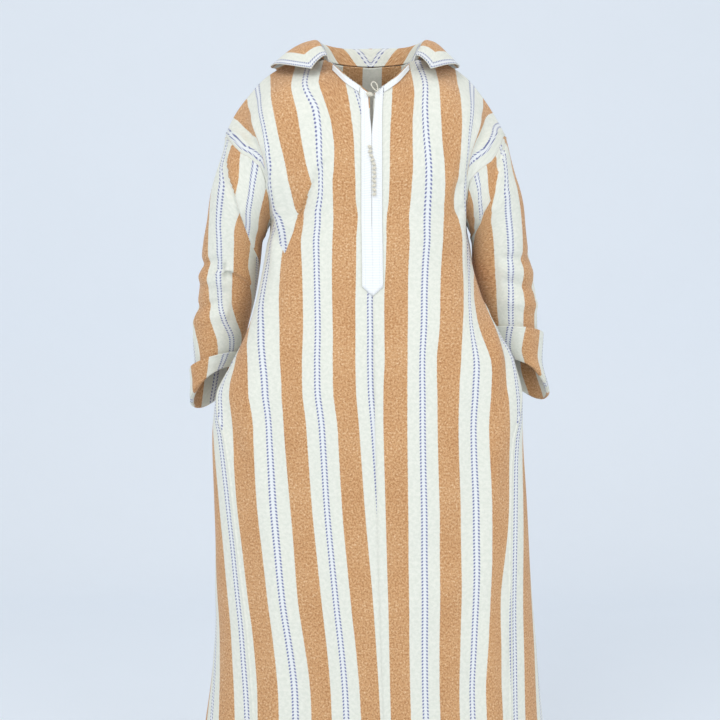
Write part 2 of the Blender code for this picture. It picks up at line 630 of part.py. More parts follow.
def sleeve(side, mat):
    points, normals = [], []
    steps = [k * 360 / SLEEVE_COLS for k in range(SLEEVE_COLS)]
    for w in SLEEVE_W:
        row, nrow = [], []
        for phi in steps:
            p, n = sleeve_point(side, phi, w), sleeve_normal(side, phi, w)
            if w == 0.0:
                face = -1 if phi <= 180 else 1
                turn = phi if phi <= 180 else 360 - phi
                v = min(2 - turn / 180, 1.98)
                n = seam_normals(side, phi if phi <= 180 else phi - 360, face, v)[1]
                along = (sleeve_point(side, phi, 0.05) - p).normalized()
                facing = smooth(0.3, -0.5, outward(side, face, 0.99, v).dot(sleeve_normal(side, phi, 0.02)))
                away = outward(side, face, 0.99, v).lerp(Vector((side, 0, 0)), smooth(100, 150, turn)).normalized()
                p = p + along * SEAM_GAP * (2 + 4 * facing) + away * SEAM_GAP * (1 + 2 * facing)
            row.append(p)
            nrow.append(n)
        points.append(row)
        normals.append(nrow)
    # the cloth turns outward at the wrist and runs back up over the sleeve
    length = (ring_frame(side, 1.0)[0] - ring_frame(side, 0.87)[0]).length / 0.13
    along = [(sleeve_point(side, phi, 1.0) - sleeve_point(side, phi, 0.93)).normalized() for phi in steps]
    radial = [sleeve_normal(side, phi, 0.97) for phi in steps]
    end = points[-1]
    for turn in (60, 120, 180):
        a = math.radians(turn)
        row = [p + d * (CUFF_GAP / 2) * math.sin(a) + r * (CUFF_GAP / 2) * (1 - math.cos(a))
               for p, d, r in zip(end, along, radial)]
        points.append(row)
        normals.append([(r * math.cos(a) + d * math.sin(a)).normalized() for d, r in zip(along, radial)])
    for share in (0.34, 0.68, 1.0):
        up = share * CUFF_HEIGHT[side]
        w = 1.0 - up / length
        row, nrow = [], []
        for phi in steps:
            p, n = sleeve_point(side, phi, w), sleeve_normal(side, phi, w)
            pressed = 1.0 - 0.8 * max(0.0, -math.cos(math.radians(phi)))
            row.append(p + n * (CUFF_GAP + CUFF_FLARE * share * pressed))
            nrow.append(-n)
        points.append(row)
        normals.append(nrow)
    return wall("sleeve_right" if side == RIGHT else "sleeve_left", points, normals, mat, closed=True)


HOOD_PSI = [k / 22 for k in range(23)]
HOOD_R = [0.0, 0.09, 0.18, 0.28, 0.38, 0.47, 0.54, 0.60, 0.66, 0.73, 0.82, 0.91, 1.0]


def hood(mat):
    points, normals = [], []
    for r in HOOD_R:
        row, nrow = [], []
        for psi in HOOD_PSI:
            row.append(hood_point(psi, r))
            n = normal_at(hood_point, min(max(psi, 0.006), 0.994), min(max(r, 0.01), 0.99), 0.005, 0.008)
            nrow.append(n)
        points.append(row)
        normals.append(nrow)
    return wall("hood", points, normals, mat)


def chest_v(z):
    """The row v at which the centre front stands at height z."""
    if z <= UNDERARM_Z:
        return (z - HEM_Z) / (UNDERARM_Z - HEM_Z)
    return 1.0 + (z - UNDERARM_Z) / (NECK[0][3] - UNDERARM_Z)


def chest_point(side, off, v):
    """A point of the front's outer face at a distance off the centre line, and its normal."""
    s = off / 0.36
    for _ in range(6):
        p = panel_point(side, -1, s, v)
        centre = panel_point(side, -1, 0.0, v)
        s += (off - abs(p.x - centre.x)) / 0.36
    n = outward(side, -1, max(s, 0.004), v)
    n = Vector((0 if off < 0.002 else n.x, n.y, n.z)).normalized()
    return on_panel(side, panel_point(side, -1, s, v), n), n


def placket(side, mat):
    """Half of the braid panel that is sewn round the slit, with its half of the point."""
    points, normals = [], []
    tip, shoulder = chest_v(PLACKET_TIP_Z), chest_v(PLACKET_TIP_Z + PLACKET_POINT)
    rows = [v for v in PANEL_V if v > shoulder + 0.004]
    rows = sorted(rows[:-1] + [(a + b) / 2 for a, b in zip(rows, rows[1:])] + [1.875, 1.925, 1.965, 1.985])
    for v in [tip] + rows:
        row, nrow = [], []
        for m in range(5):
            share = m / 4
            at = v if v > tip else tip + (shoulder - tip) * share
            z = panel_point(side, -1, 0.0, at).z
            inner = SEAM_GAP * 1.5 + slit_half(z)
            off = inner + (PLACKET_HALF - inner + 0.002 * smooth(-0.14, -0.09, z)) * share
            p, n = chest_point(side, off, at)
            row.append(p + n * 0.0008 * smooth(-0.115, -0.090, z))
            nrow.append(n)
        points.append(row)
        normals.append(nrow)
    return wall("placket_right" if side == RIGHT else "placket_left", points, normals, mat,
                thick=PLACKET_THICK, lift=LAID_ON + PLACKET_THICK)


def neck_trim(side, mat):
    """The narrow braid along one edge of the open neck, from the placket to the hood."""
    points, normals = [], []
    for s in (0.088, 0.10, 0.12, 0.14, 0.16, 0.18, 0.20, 0.22, 0.24, 0.262):
        row, nrow = [], []
        for v in (1.945, 1.967, 1.990):
            n = outward(side, -1, s, v)
            row.append(on_panel(side, panel_point(side, -1, s, v), n))
            nrow.append(n)
        points.append(row)
        normals.append(nrow)
    return wall("neck_trim_right" if side == RIGHT else "neck_trim_left", points, normals, mat,
                thick=0.0014, lift=LAID_ON + 0.0014)


def knot(name, centre, radius, mat, squash=(1.0, 0.85, 0.85), turn=0.0):
    """A small round knotted button."""
    bm = bmesh.new()
    bmesh.ops.create_uvsphere(bm, u_segments=8, v_segments=6, radius=radius)
    bmesh.ops.scale(bm, vec=squash, verts=bm.verts)
    obj = add_object(name, bm, mat)
    obj.location = centre
    obj.rotation_euler = (0, turn, 0)
    return obj


def buttons(mat):
    stand = LAID_ON * 2 + PLACKET_THICK + BUTTON_R * 0.9
    for k in range(BUTTONS):
        z = BUTTON_TOP_Z - BUTTON_STEP * k
        x = -0.0035 + 0.0075 * smooth(0, 5, k)
        p, n = chest_point(LEFT if x > 0 else RIGHT, max(abs(x), 0.001), chest_v(z))
        knot(f"button_{k + 1:02d}", p + n * stand, BUTTON_R, mat, turn=0.35 * (-1) ** k)


def top_fastening(mat):
    """The top button across the slit, the small knot beside it and the free cord loop."""
    mid, n = chest_point(RIGHT, 0.0060, chest_v(-0.0985))
    stand = LAID_ON * 2 + PLACKET_THICK
    knot("button_top", Vector((-0.0015, mid.y, mid.z)) + n * (stand + 0.0042), 0.0040, mat, (1.5, 0.9, 0.9))
    curve = bpy.data.curves.new("cord_loop", "CURVE")
    curve.dimensions = "3D"
    curve.bevel_depth = 0.0011
    curve.bevel_resolution = 1
    spline = curve.splines.new("POLY")
    base = Vector((0.0095, -0.1215, -0.0865))
    spline.points.add(15)
    for k in range(16):
        a = 2 * math.pi * k / 16
        along, sideways = 0.0085 * (1 - math.cos(a)), 0.0042 * math.sin(a) * (1 - 0.35 * math.cos(a))
        lean = math.radians(28)
        x = -along * math.sin(lean) + sideways * math.cos(lean)
        z = along * math.cos(lean) + sideways * math.sin(lean)
        spline.points[k].co = (base.x + x, base.y - 0.001, base.z + z, 1)
    spline.use_cyclic_u = True
    loop = bpy.data.objects.new("cord_loop", curve)
    curve.materials.append(mat)
    bpy.context.scene.collection.objects.link(loop)


def main():
    for obj in list(bpy.data.objects):
        bpy.data.objects.remove(obj, do_unlink=True)
    striped = material("striped_cloth", (0.72, 0.46, 0.22), 0.95)
    pale = material("pale_cloth", (0.86, 0.86, 0.78), 0.95)
    braid = material("white_braid", (0.90, 0.91, 0.92), 0.7)
    silk = material("cream_cord", (0.86, 0.86, 0.80), 0.6)
    for side in (RIGHT, LEFT):
        front_panel(side, striped)
        gore(side, striped)
        sleeve(side, striped)
        placket(side, braid)
        neck_trim(side, braid)
    back_panel(striped)
    hood(pale)
    buttons(silk)
    top_fastening(silk)


main()
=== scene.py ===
import math

import bpy
import numpy as np
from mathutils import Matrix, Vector


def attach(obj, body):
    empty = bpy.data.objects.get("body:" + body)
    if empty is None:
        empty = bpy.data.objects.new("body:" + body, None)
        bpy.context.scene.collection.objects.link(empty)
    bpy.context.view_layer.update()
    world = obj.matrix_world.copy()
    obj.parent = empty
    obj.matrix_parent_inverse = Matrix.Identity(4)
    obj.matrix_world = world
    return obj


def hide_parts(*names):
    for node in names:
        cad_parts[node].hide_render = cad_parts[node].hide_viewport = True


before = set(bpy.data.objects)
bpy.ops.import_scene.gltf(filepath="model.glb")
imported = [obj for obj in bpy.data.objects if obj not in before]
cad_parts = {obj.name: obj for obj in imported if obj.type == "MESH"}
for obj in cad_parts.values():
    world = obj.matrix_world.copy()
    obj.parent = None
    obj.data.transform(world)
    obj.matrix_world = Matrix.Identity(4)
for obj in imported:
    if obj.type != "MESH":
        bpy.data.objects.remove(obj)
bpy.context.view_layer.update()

# A long hooded robe with wide turned-back sleeves. The cloth follows the same
# surfaces as its solids, with the creases, seams, stripes and braid added.
STAGE_TONE = (240, 245, 251)
WORLD_LIGHT = 0.79
KEY_LIGHT = 33.0

# ---------------------------------------------------------------- sizes (m)
CLOTH = 0.0020          # thickness of the cloth
SEAM_GAP = 0.0003       # each piece stops this far from its seam line
HEM_Z = -1.400          # the hem
UNDERARM_Z = -0.300     # the underarm points
RIGHT, LEFT = -1, 1
LEFT_SLIM = 0.905       # the left shoulder stands this much narrower

PLACKET_HALF = 0.0180   # half width of the braid panel on the front slit
PLACKET_TIP_Z = -0.443  # its pointed end
PLACKET_POINT = 0.017   # height of the point
PLACKET_THICK = 0.0012
SLIT_END_Z = -0.168     # the slit is open above this height
SLIT_HALF_TOP = 0.0052  # half its width at the top
LAID_ON = 0.0009        # what lies on a panel stands this far off it

BUTTONS = 12
BUTTON_TOP_Z = -0.187
BUTTON_STEP = 0.0073
BUTTON_R = 0.0032

CUFF_GAP = 0.0030       # between a sleeve and its turned-back cuff
CUFF_FLARE = 0.0060     # how much further the cuff's free edge stands off

# ------------------------------------------------------- the body's sections
BODY_COLUMNS = ("z", "front_y", "side_y", "back_y", "wide_right", "wide_left", "centre_x")
BODY = [
    (-1.400, -0.170, 0.000, 0.178, 0.330, 0.332, 0.027),
    (-1.300, -0.164, 0.000, 0.171, 0.317, 0.322, 0.024),
    (-1.200, -0.159, 0.000, 0.165, 0.302, 0.312, 0.021),
    (-1.100, -0.155, -0.002, 0.159, 0.289, 0.302, 0.0175),
    (-1.000, -0.152, -0.008, 0.154, 0.282, 0.293, 0.0140),
    (-0.900, -0.150, -0.015, 0.150, 0.282, 0.287, 0.0110),
    (-0.800, -0.148, -0.022, 0.147, 0.285, 0.281, 0.0085),
    (-0.700, -0.147, -0.032, 0.144, 0.287, 0.275, 0.0060),
    (-0.620, -0.145, -0.038, 0.138, 0.280, 0.272, 0.0045),
    (-0.560, -0.142, -0.034, 0.130, 0.252, 0.258, 0.0034),
    (-0.500, -0.139, -0.024, 0.124, 0.224, 0.231, 0.0024),
    (-0.440, -0.135, -0.012, 0.120, 0.207, 0.202, 0.0016),
    (-0.380, -0.132, -0.004, 0.120, 0.195, 0.186, 0.0010),
    (-0.300, -0.130, 0.000, 0.125, 0.183, 0.176, 0.0),
]
SQUARE = 0.83           # 1 gives an oval section, less gives a squarer one
BEHIND_ARM_SQUARE = 1.35  # the back half falls away more where the cuffs hang
BEHIND_ARM_Z = (-0.640, -0.400)

# the soft fold that runs down from each shoulder and dies out under the arm,
# with the hollow behind it: height, place round the body, how far out and in
FOLD_COLUMNS = ("z", "ridge_q", "ridge_out", "hollow_in")
FOLD = [
    (-0.460, 0.270, 0.000, 0.000),
    (-0.400, 0.300, 0.003, 0.002),
    (-0.350, 0.330, 0.006, 0.003),
    (-0.300, 0.335, 0.008, 0.002),
]
FOLD_WIDTH = 0.045

# where the front panel's edge runs, and the gore's back edge, as a share of
# the way from centre front to centre back; slit_gap opens the side slit
SIDE_COLUMNS = ("z", "edge_right", "edge_left", "gore_back", "slit_gap")
SIDE = [
    (-1.400, 0.200, 0.235, 0.700, 0.0),
    (-1.200, 0.226, 0.253, 0.680, 0.0),
    (-1.020, 0.268, 0.282, 0.655, 0.0),
    (-0.880, 0.300, 0.302, 0.630, 0.0),
    (-0.760, 0.322, 0.325, 0.605, 0.0),
    (-0.690, 0.345, 0.350, 0.590, 0.0),
    (-0.630, 0.420, 0.420, 0.580, 0.002),
    (-0.580, 0.470, 0.465, 0.570, 0.010),
    (-0.520, 0.490, 0.485, 0.558, 0.014),
    (-0.460, 0.498, 0.495, 0.545, 0.010),
    (-0.410, 0.500, 0.500, 0.530, 0.001),
    (-0.300, 0.500, 0.500, 0.530, 0.0),
]
GORE_TOP_Z = -0.455     # the top of the side panels, behind the slit

# --------------------------------------------------------- the yoke's sections
# key columns across a front half, from the centre front to the armhole:
# s is the column's place, q its place on the body section at the underarm
KEYS = ("centre", "neck_mid", "neck_side", "chest", "fold", "hollow", "arm", "armhole")
KEY_S = (0.0, 0.17, 0.33, 0.50, 0.66, 0.78, 0.90, 1.0)
KEY_Q = (0.0, 0.17, 0.34, 0.50, 0.64, 0.73, 0.82, 1.0)

# out = distance from the centre line, fwd = distance in front of the ridge.
# rise runs from the underarm level (0) to the shoulder ridge or neck (1)
FRONT_COLUMNS = ("rise", "centre_fwd", "neck_mid_out", "neck_mid_fwd", "neck_side_out",
                 "neck_side_fwd", "chest_out", "chest_fwd", "fold_out", "fold_fwd",
                 "hollow_out", "hollow_fwd", "arm_out", "arm_fwd")
FRONT = [
    (0.25, 0.133, 0.062, 0.1320, 0.108, 0.127, 0.1520, 0.1120, 0.1790, 0.095, 0.1815, 0.084, 0.1828, 0.073),
    (0.50, 0.131, 0.057, 0.1290, 0.102, 0.122, 0.1500, 0.1120, 0.1850, 0.101, 0.1900, 0.096, 0.1940, 0.091),
    (0.75, 0.126, 0.051, 0.1150, 0.096, 0.096, 0.1460, 0.0880, 0.1900, 0.078, 0.2070, 0.072, 0.2220, 0.066),
]
BACK_COLUMNS = ("rise", "centre_back", "neck_mid_out", "neck_mid_back", "neck_side_out",
                "neck_side_back", "chest_out", "chest_back", "fold_out", "fold_back",
                "hollow_out", "hollow_back", "arm_out", "arm_back")
BACK = [
    (0.25, 0.128, 0.050, 0.127, 0.098, 0.121, 0.1450, 0.108, 0.1740, 0.088, 0.1820, 0.076, 0.1870, 0.067),
    (0.50, 0.126, 0.046, 0.125, 0.092, 0.116, 0.1430, 0.102, 0.1780, 0.086, 0.1870, 0.080, 0.1950, 0.082),
    (0.75, 0.108, 0.042, 0.104, 0.090, 0.088, 0.1420, 0.078, 0.1840, 0.068, 0.2040, 0.064, 0.2180, 0.064),
]
# the shoulder ridge from the neck to the armhole
RIDGE_COLUMNS = ("key", "out", "z")
RIDGE = [
    ("neck_side", 0.088, 0.000),
    ("chest", 0.140, -0.005),
    ("fold", 0.190, -0.030),
    ("hollow", 0.222, -0.063),
    ("arm", 0.250, -0.101),
    ("armhole", 0.2665, -0.134),
]
# the neckline, from the slit round to the centre back (right side, x as out)
NECK_COLUMNS = ("key", "out", "y", "z")
NECK = [
    ("slit", 0.000, -0.118, -0.090),
    ("v_mid", 0.040, -0.094, -0.056),
    ("v_end", 0.074, -0.058, -0.022),
    ("side", 0.088, 0.000, 0.000),
    ("back_side", 0.062, 0.046, 0.003),
    ("back", 0.000, 0.068, 0.003),
]

# ------------------------------------------------------------------ armholes
ARMHOLE_COLUMNS = ("side", "x", "z", "reach", "tilt_deg")
ARMHOLE = [
    (RIGHT, 0.2252, -0.2170, 0.0925, 63.6),
    (LEFT, 0.2102, -0.2180, 0.0885, 66.0),
]
ARMHOLE_DEPTH = 0.085   # in front of and behind the shoulder
ARMHOLE_BOW_FRONT = 0.030
ARMHOLE_BOW_BACK = 0.014

# ------------------------------------------------------------ sleeves (rings)
# out, y, z: the ring's centre; reach and tilt: towards the outer side;
# depth and lift: towards the front
SLEEVE_COLUMNS = ("w", "out", "y", "z", "reach", "tilt_deg", "depth", "lift_deg")
SLEEVE = {
    RIGHT: [
        (0.15, 0.2415, 0.004, -0.2775, 0.0645, 41.0, 0.0790, 0.0),
        (0.26, 0.2515, 0.014, -0.3185, 0.0536, 18.0, 0.0720, 0.0),
        (0.42, 0.2625, 0.030, -0.3780, 0.0550, 3.0, 0.0670, 2.0),
        (0.58, 0.2720, 0.045, -0.4400, 0.0535, 0.0, 0.0620, 4.0),
        (0.74, 0.2830, 0.053, -0.5000, 0.0510, -6.0, 0.0580, 10.0),
        (0.87, 0.2870, 0.054, -0.5520, 0.0480, -20.0, 0.0540, 18.0),
        (1.00, 0.2960, 0.052, -0.6020, 0.0500, -39.0, 0.0510, 28.0),
    ],
    LEFT: [
        (0.15, 0.2275, 0.004, -0.2750, 0.0624, 46.0, 0.0770, 0.0),
        (0.26, 0.2365, 0.014, -0.3220, 0.0515, 18.0, 0.0710, 0.0),
        (0.42, 0.2455, 0.030, -0.3800, 0.0540, 3.0, 0.0670, 2.0),
        (0.58, 0.2590, 0.045, -0.4400, 0.0515, 0.0, 0.0620, 4.0),
        (0.74, 0.2660, 0.055, -0.4960, 0.0470, -6.0, 0.0570, 10.0),
        (0.87, 0.2745, 0.055, -0.5440, 0.0450, -20.0, 0.0530, 18.0),
        (1.00, 0.2930, 0.050, -0.5860, 0.0490, -39.0, 0.0510, 28.0),
    ],
}
CUFF_HEIGHT = {RIGHT: 0.050, LEFT: 0.066}

# -------------------------------------------------------------- hood profiles
# each row is one profile, from the front end of the neck seam to the centre
# back; each point is out, y, z: the seam, the roll's top, the inner layer,
# the fold, the outer layer and the free edge
HOOD_COLUMNS = ("seam", "top", "inner", "fold", "outer", "edge")
HOOD = [
    ((0.0740, -0.058, -0.022), (0.0775, -0.066, -0.010), (0.0850, -0.074, -0.012), (0.0930, -0.081, -0.020), (0.1000, -0.087, -0.029), (0.1060, -0.092, -0.039)),
    ((0.0830, -0.032, -0.010), (0.0900, -0.037, 0.018), (0.1060, -0.044, 0.018), (0.1270, -0.050, 0.008), (0.1480, -0.055, -0.006), (0.1660, -0.059, -0.022)),
    ((0.0880, 0.000, 0.000), (0.0960, 0.000, 0.034), (0.1170, 0.000, 0.031), (0.1420, 0.002, 0.016), (0.1650, 0.004, 0.003), (0.1850, 0.006, -0.011)),
    ((0.0760, 0.032, 0.002), (0.0840, 0.042, 0.040), (0.1150, 0.062, 0.016), (0.1560, 0.088, -0.042), (0.1690, 0.101, -0.026), (0.1620, 0.088, 0.004)),
    ((0.0450, 0.058, 0.003), (0.0510, 0.074, 0.041), (0.0860, 0.119, -0.046), (0.1200, 0.147, -0.180), (0.1060, 0.184, -0.115), (0.0900, 0.160, -0.014)),
    ((0.0000, 0.068, 0.003), (0.0000, 0.088, 0.040), (0.0000, 0.141, -0.110), (0.0000, 0.152, -0.400), (0.0000, 0.200, -0.230), (0.0000, 0.184, -0.038)),
]
HOOD_LIFT = 0.0030      # the hood's seam edge stands over the neckline


# ------------------------------------------------------------------- helpers
def hermite(xs, ys, x):
    """A smooth curve through the points that doesn't overshoot them."""
    n = len(xs)
    if x <= xs[0]:
        return ys[0]
    if x >= xs[-1]:
        return ys[-1]
    i = max(k for k in range(n - 1) if xs[k] <= x)
    slope = [(ys[k + 1] - ys[k]) / (xs[k + 1] - xs[k]) for k in range(n - 1)]

    def tangent(k):
        if k == 0:
            return slope[0]
        if k == n - 1:
            return slope[-1]
        a, b = slope[k - 1], slope[k]
        if a * b <= 0:
            return 0.0
        return 2 * a * b / (a + b)

    h = xs[i + 1] - xs[i]
    t = (x - xs[i]) / h
    m0, m1 = tangent(i) * h, tangent(i + 1) * h
    return ((2 * t**3 - 3 * t**2 + 1) * ys[i] + (t**3 - 2 * t**2 + t) * m0
            + (3 * t**2 - 2 * t**3) * ys[i + 1] + (t**3 - t**2) * m1)


def read(table, columns, key, x, name):
    """One named column of a table, at x in its key column."""
    k, c = columns.index(key), columns.index(name)
    return hermite([row[k] for row in table], [row[c] for row in table], x)


def through(points, t):
    """A smooth curve through evenly keyed points, t from 0 to 1."""
    n = len(points) - 1
    x = min(max(t, 0.0), 1.0) * n
    i = min(int(x), n - 1)
    f = x - i
    p1, p2 = Vector(points[i]), Vector(points[i + 1])
    p0 = Vector(points[i - 1]) if i > 0 else p1 * 2 - p2
    p3 = Vector(points[i + 2]) if i + 2 <= n else p2 * 2 - p1
    return 0.5 * ((2 * p1) + (p2 - p0) * f + (2 * p0 - 5 * p1 + 4 * p2 - p3) * f * f
                  + (3 * p1 - p0 - 3 * p2 + p3) * f**3)


def smooth(a, b, x):
    t = min(max((x - a) / (b - a), 0.0), 1.0)
    return t * t * (3 - 2 * t)


def slim(side, s):
    """How far out a point stands, as the left shoulder is narrower."""
    return 1.0 if side == RIGHT else 1.0 - (1.0 - LEFT_SLIM) * smooth(0.1, 0.62, s)


# ------------------------------------------------------------------ surfaces
def body_point(side, q, z):
    """The body below the underarms: q runs from centre front to centre back."""
    get = lambda name: read(BODY, BODY_COLUMNS, "z", z, name)
    wide = get("wide_right" if side == RIGHT else "wide_left")
    a = math.pi * q
    end_y = get("front_y") if q <= 0.5 else get("back_y")
    square = SQUARE
    if q > 0.5:
        low, high = BEHIND_ARM_Z
        square += (BEHIND_ARM_SQUARE - SQUARE) * smooth(low - 0.14, low, z) * (1 - smooth(high, high + 0.1, z))
    out = wide * abs(math.sin(a)) ** square
    y = get("side_y") + (end_y - get("side_y")) * abs(math.cos(a)) ** SQUARE
    if q < 0.5 and z > FOLD[0][0]:
        ridge_q = read(FOLD, FOLD_COLUMNS, "z", z, "ridge_q")
        push = read(FOLD, FOLD_COLUMNS, "z", z, "ridge_out") * math.exp(-((q - ridge_q) / FOLD_WIDTH) ** 2)
        push -= read(FOLD, FOLD_COLUMNS, "z", z, "hollow_in") * math.exp(-((q - ridge_q - 0.075) / FOLD_WIDTH) ** 2)
        out += push * math.sin(a)
        y -= push * math.cos(a)
    lean = get("centre_x") * (1 - math.sin(a)) if q < 0.5 else 0.0
    return Vector((side * out + lean, y, z))


def neck_point(side, name_or_k):
    row = NECK[name_or_k]
    return Vector((side * row[1], row[2], row[3]))


def armhole_point(side, phi):
    """The armhole seam: 0 at the shoulder's end, 90 at the front, 180 under the arm."""
    _, x, z, reach, tilt = next(r for r in ARMHOLE if r[0] == side)
    a, t = math.radians(phi), math.radians(tilt)
    bow = (ARMHOLE_BOW_FRONT if math.sin(a) > 0 else ARMHOLE_BOW_BACK)
    bow *= abs(math.sin(a)) ** (1.0 if math.cos(a) > 0 else 2.0)
    out = x + reach * math.cos(t) * math.cos(a) - bow * math.sin(t)
    up = z + reach * math.sin(t) * math.cos(a) + bow * math.cos(t)
    return Vector((side * out, -ARMHOLE_DEPTH * math.sin(a), up))


def yoke_row(side, face, rise):
    """The key points of one row of the yoke. face is -1 for the front, 1 for the back."""
    level = [body_point(side, 0.5 * q if face < 0 else 1 - 0.5 * q, UNDERARM_Z) for q in KEY_Q]
    if face < 0:
        top = [neck_point(side, 0), neck_point(side, 1)]
    else:
        top = [neck_point(side, 5), neck_point(side, 4)]
    for key, out, z in RIDGE:
        s = KEY_S[KEYS.index(key)]
        top.append(Vector((side * out * slim(side, s), 0.0, z)))
    top[-1], level[-1] = armhole_point(side, 0), armhole_point(side, 180)
    if rise <= 0:
        return level
    if rise >= 1:
        return top
    table, columns, word = (FRONT, FRONT_COLUMNS, "fwd") if face < 0 else (BACK, BACK_COLUMNS, "back")
    rows = [0.0] + [r[0] for r in table] + [1.0]
    made = []
    for k, key in enumerate(KEYS):
        if key == "armhole":
            made.append(armhole_point(side, -face * 180 * (1 - rise)))
            continue
        word_at = columns.index(f"{key}_{word}")
        ys = [level[k].y] + [face * r[word_at] for r in table] + [top[k].y]
        if key == "centre":
            xs = [level[k].x] + [0.0] * len(table) + [top[k].x]
        else:
            out_at = columns.index(f"{key}_out")
            xs = [level[k].x] + [side * r[out_at] * slim(side, KEY_S[k]) for r in table] + [top[k].x]
        z = level[k].z + (top[k].z - level[k].z) * rise
        made.append(Vector((hermite(rows, xs, rise), hermite(rows, ys, rise), z)))
    return made


def across(keys, s):
    """A point at s on the smooth line through a row's key points."""
    return Vector([hermite(KEY_S, [p[a] for p in keys], s) if a else
                   hermite(KEY_S, [p[0] for p in keys], s) for a in range(3)])


_rows = {}


def panel_point(side, face, s, v):
    """The front or back: v from 0 at the hem to 1 at the underarms to 2 at the ridge."""
    if v >= 1.0:
        key = (side, face, round(v, 6))
        if key not in _rows:
            _rows[key] = yoke_row(side, face, v - 1.0)
        return across(_rows[key], s)
    z = HEM_Z + (UNDERARM_Z - HEM_Z) * v
    q = 0.5 * hermite(KEY_S, KEY_Q, s)
    p = body_point(side, q if face < 0 else 1 - q, z)
    if v > 0.96:  # the last stretch meets the yoke's own underarm point
        key = (side, face, "level")
        if key not in _rows:
            _rows[key] = yoke_row(side, face, 0.0)
        p = p.lerp(across(_rows[key], s) + Vector((0, 0, z - UNDERARM_Z)), smooth(0.96, 1.0, v))
    return p


def ring_frame(side, w):
    get = lambda name: read(SLEEVE[side], SLEEVE_COLUMNS, "w", w, name)
    tilt, lift = math.radians(get("tilt_deg")), math.radians(get("lift_deg"))
    centre = Vector((side * get("out"), get("y"), get("z")))
    outer = Vector((side * math.cos(tilt), 0, math.sin(tilt))) * get("reach")
    front = Vector((0, -math.cos(lift), math.sin(lift))) * get("depth")
    return centre, outer, front


def sleeve_point(side, phi, w, off=0.0):
    """The sleeve: w from the armhole to the wrist, phi as on the armhole; off stands it off."""
    a = math.radians(phi)
    first = SLEEVE[side][0][0]
    centre, outer, front = ring_frame(side, max(w, first))
    place = centre + outer * (1 + off / outer.length) * math.cos(a) + front * (1 + off / front.length) * math.sin(a)
    if w < first:
        place = armhole_point(side, phi).lerp(place, smooth(0, 1, w / first) * 0.35 + 0.65 * w / first)
    return place


def hood_point(psi, r):
    """The hood: psi from the right front end (0) round the back (0.5) to the left one (1)."""
    side, u = (RIGHT, 2 * psi) if psi <= 0.5 else (LEFT, 2 - 2 * psi)
    n = len(HOOD) - 1
    x = min(max(u, 0.0), 1.0) * n
    i = min(int(x), n - 1)
    f = x - i
    rows = []
    for k in (i - 1, i, i + 1, i + 2):
        if k > n:  # across the centre back the profiles mirror
            rows.append([(-p[0], p[1], p[2]) for p in HOOD[2 * n - k]])
        else:
            rows.append([tuple(p) for p in HOOD[max(k, 0)]])
    profile = [through([rows[m][c] for m in range(4)], (1 + f) / 3) for c in range(len(HOOD_COLUMNS))]
    p = through(profile, r)
    scale = 1.0 if side == RIGHT else 1.0 - 0.12 * smooth(0.09, 0.16, p.x)
    lift = HOOD_LIFT * (1 - smooth(0.0, 0.15, r))
    return Vector((side * p.x * scale, p.y, p.z + lift))


# --------------------------------------------------------------------- walls
def normal_at(surface, a, b, step_a, step_b):
    da = surface(a + step_a, b) - surface(a - step_a, b)
    db = surface(a, b + step_b) - surface(a, b - step_b)
    n = da.cross(db)
    return n.normalized() if n.length > 1e-12 else Vector((0, 0, 1))


def slit_half(z):
    """Half the width of the open slit at a height."""
    return SLIT_HALF_TOP * smooth(SLIT_END_Z, -0.100, z)


def outward(side, face, s, v):
    """The outward normal of a front or back panel."""
    surface = lambda a, b: panel_point(side, face, a, b)
    if 0.95 < v < 1.25:  # the surface has a corner at the underarm point
        s = min(s, 0.86)
    n = normal_at(surface, min(max(s, 0.004), 0.996), min(max(v, 0.01), 1.985), 0.003, 0.004)
    return n if side * face < 0 else -n


def edge_s(side, v):
    """Where a front panel's outer edge runs, as its place s, below the underarm."""
    z = HEM_Z + (UNDERARM_Z - HEM_Z) * min(v, 1.0)
    q = read(SIDE, SIDE_COLUMNS, "z", z, "edge_right" if side == RIGHT else "edge_left")
    return hermite(KEY_Q, KEY_S, min(q / 0.5, 1.0))


GORE_TOP_V = (GORE_TOP_Z - HEM_Z) / (UNDERARM_Z - HEM_Z)


def back_edge_s(side, v):
    z = HEM_Z + (UNDERARM_Z - HEM_Z) * min(v, 1.0)
    if z > GORE_TOP_Z + 1e-6:
        return 1.0
    q = read(SIDE, SIDE_COLUMNS, "z", z, "gore_back")
    return hermite(KEY_Q, KEY_S, min((1 - q) / 0.5, 1.0))


def chest_v(z):
    """The row v at which the centre front stands at height z."""
    if z <= UNDERARM_Z:
        return (z - HEM_Z) / (UNDERARM_Z - HEM_Z)
    return 1.0 + (z - UNDERARM_Z) / (NECK[0][3] - UNDERARM_Z)


# ----------------------------------------------------------------- the stripes
# The cloth is woven in stripes: t is the distance across the cloth from the
# inner edge of the stripe nearest the middle, l the distance along it.
BROWN = 0.039           # width of a tan stripe
REPEAT = 0.090          # tan and white together
LINES = 0.0645          # the middle of the pair of blue lines
EDGE_T = (0.0, 0.039, 0.090, 0.129, 0.180, 0.219)   # t at the columns e0 ... e5

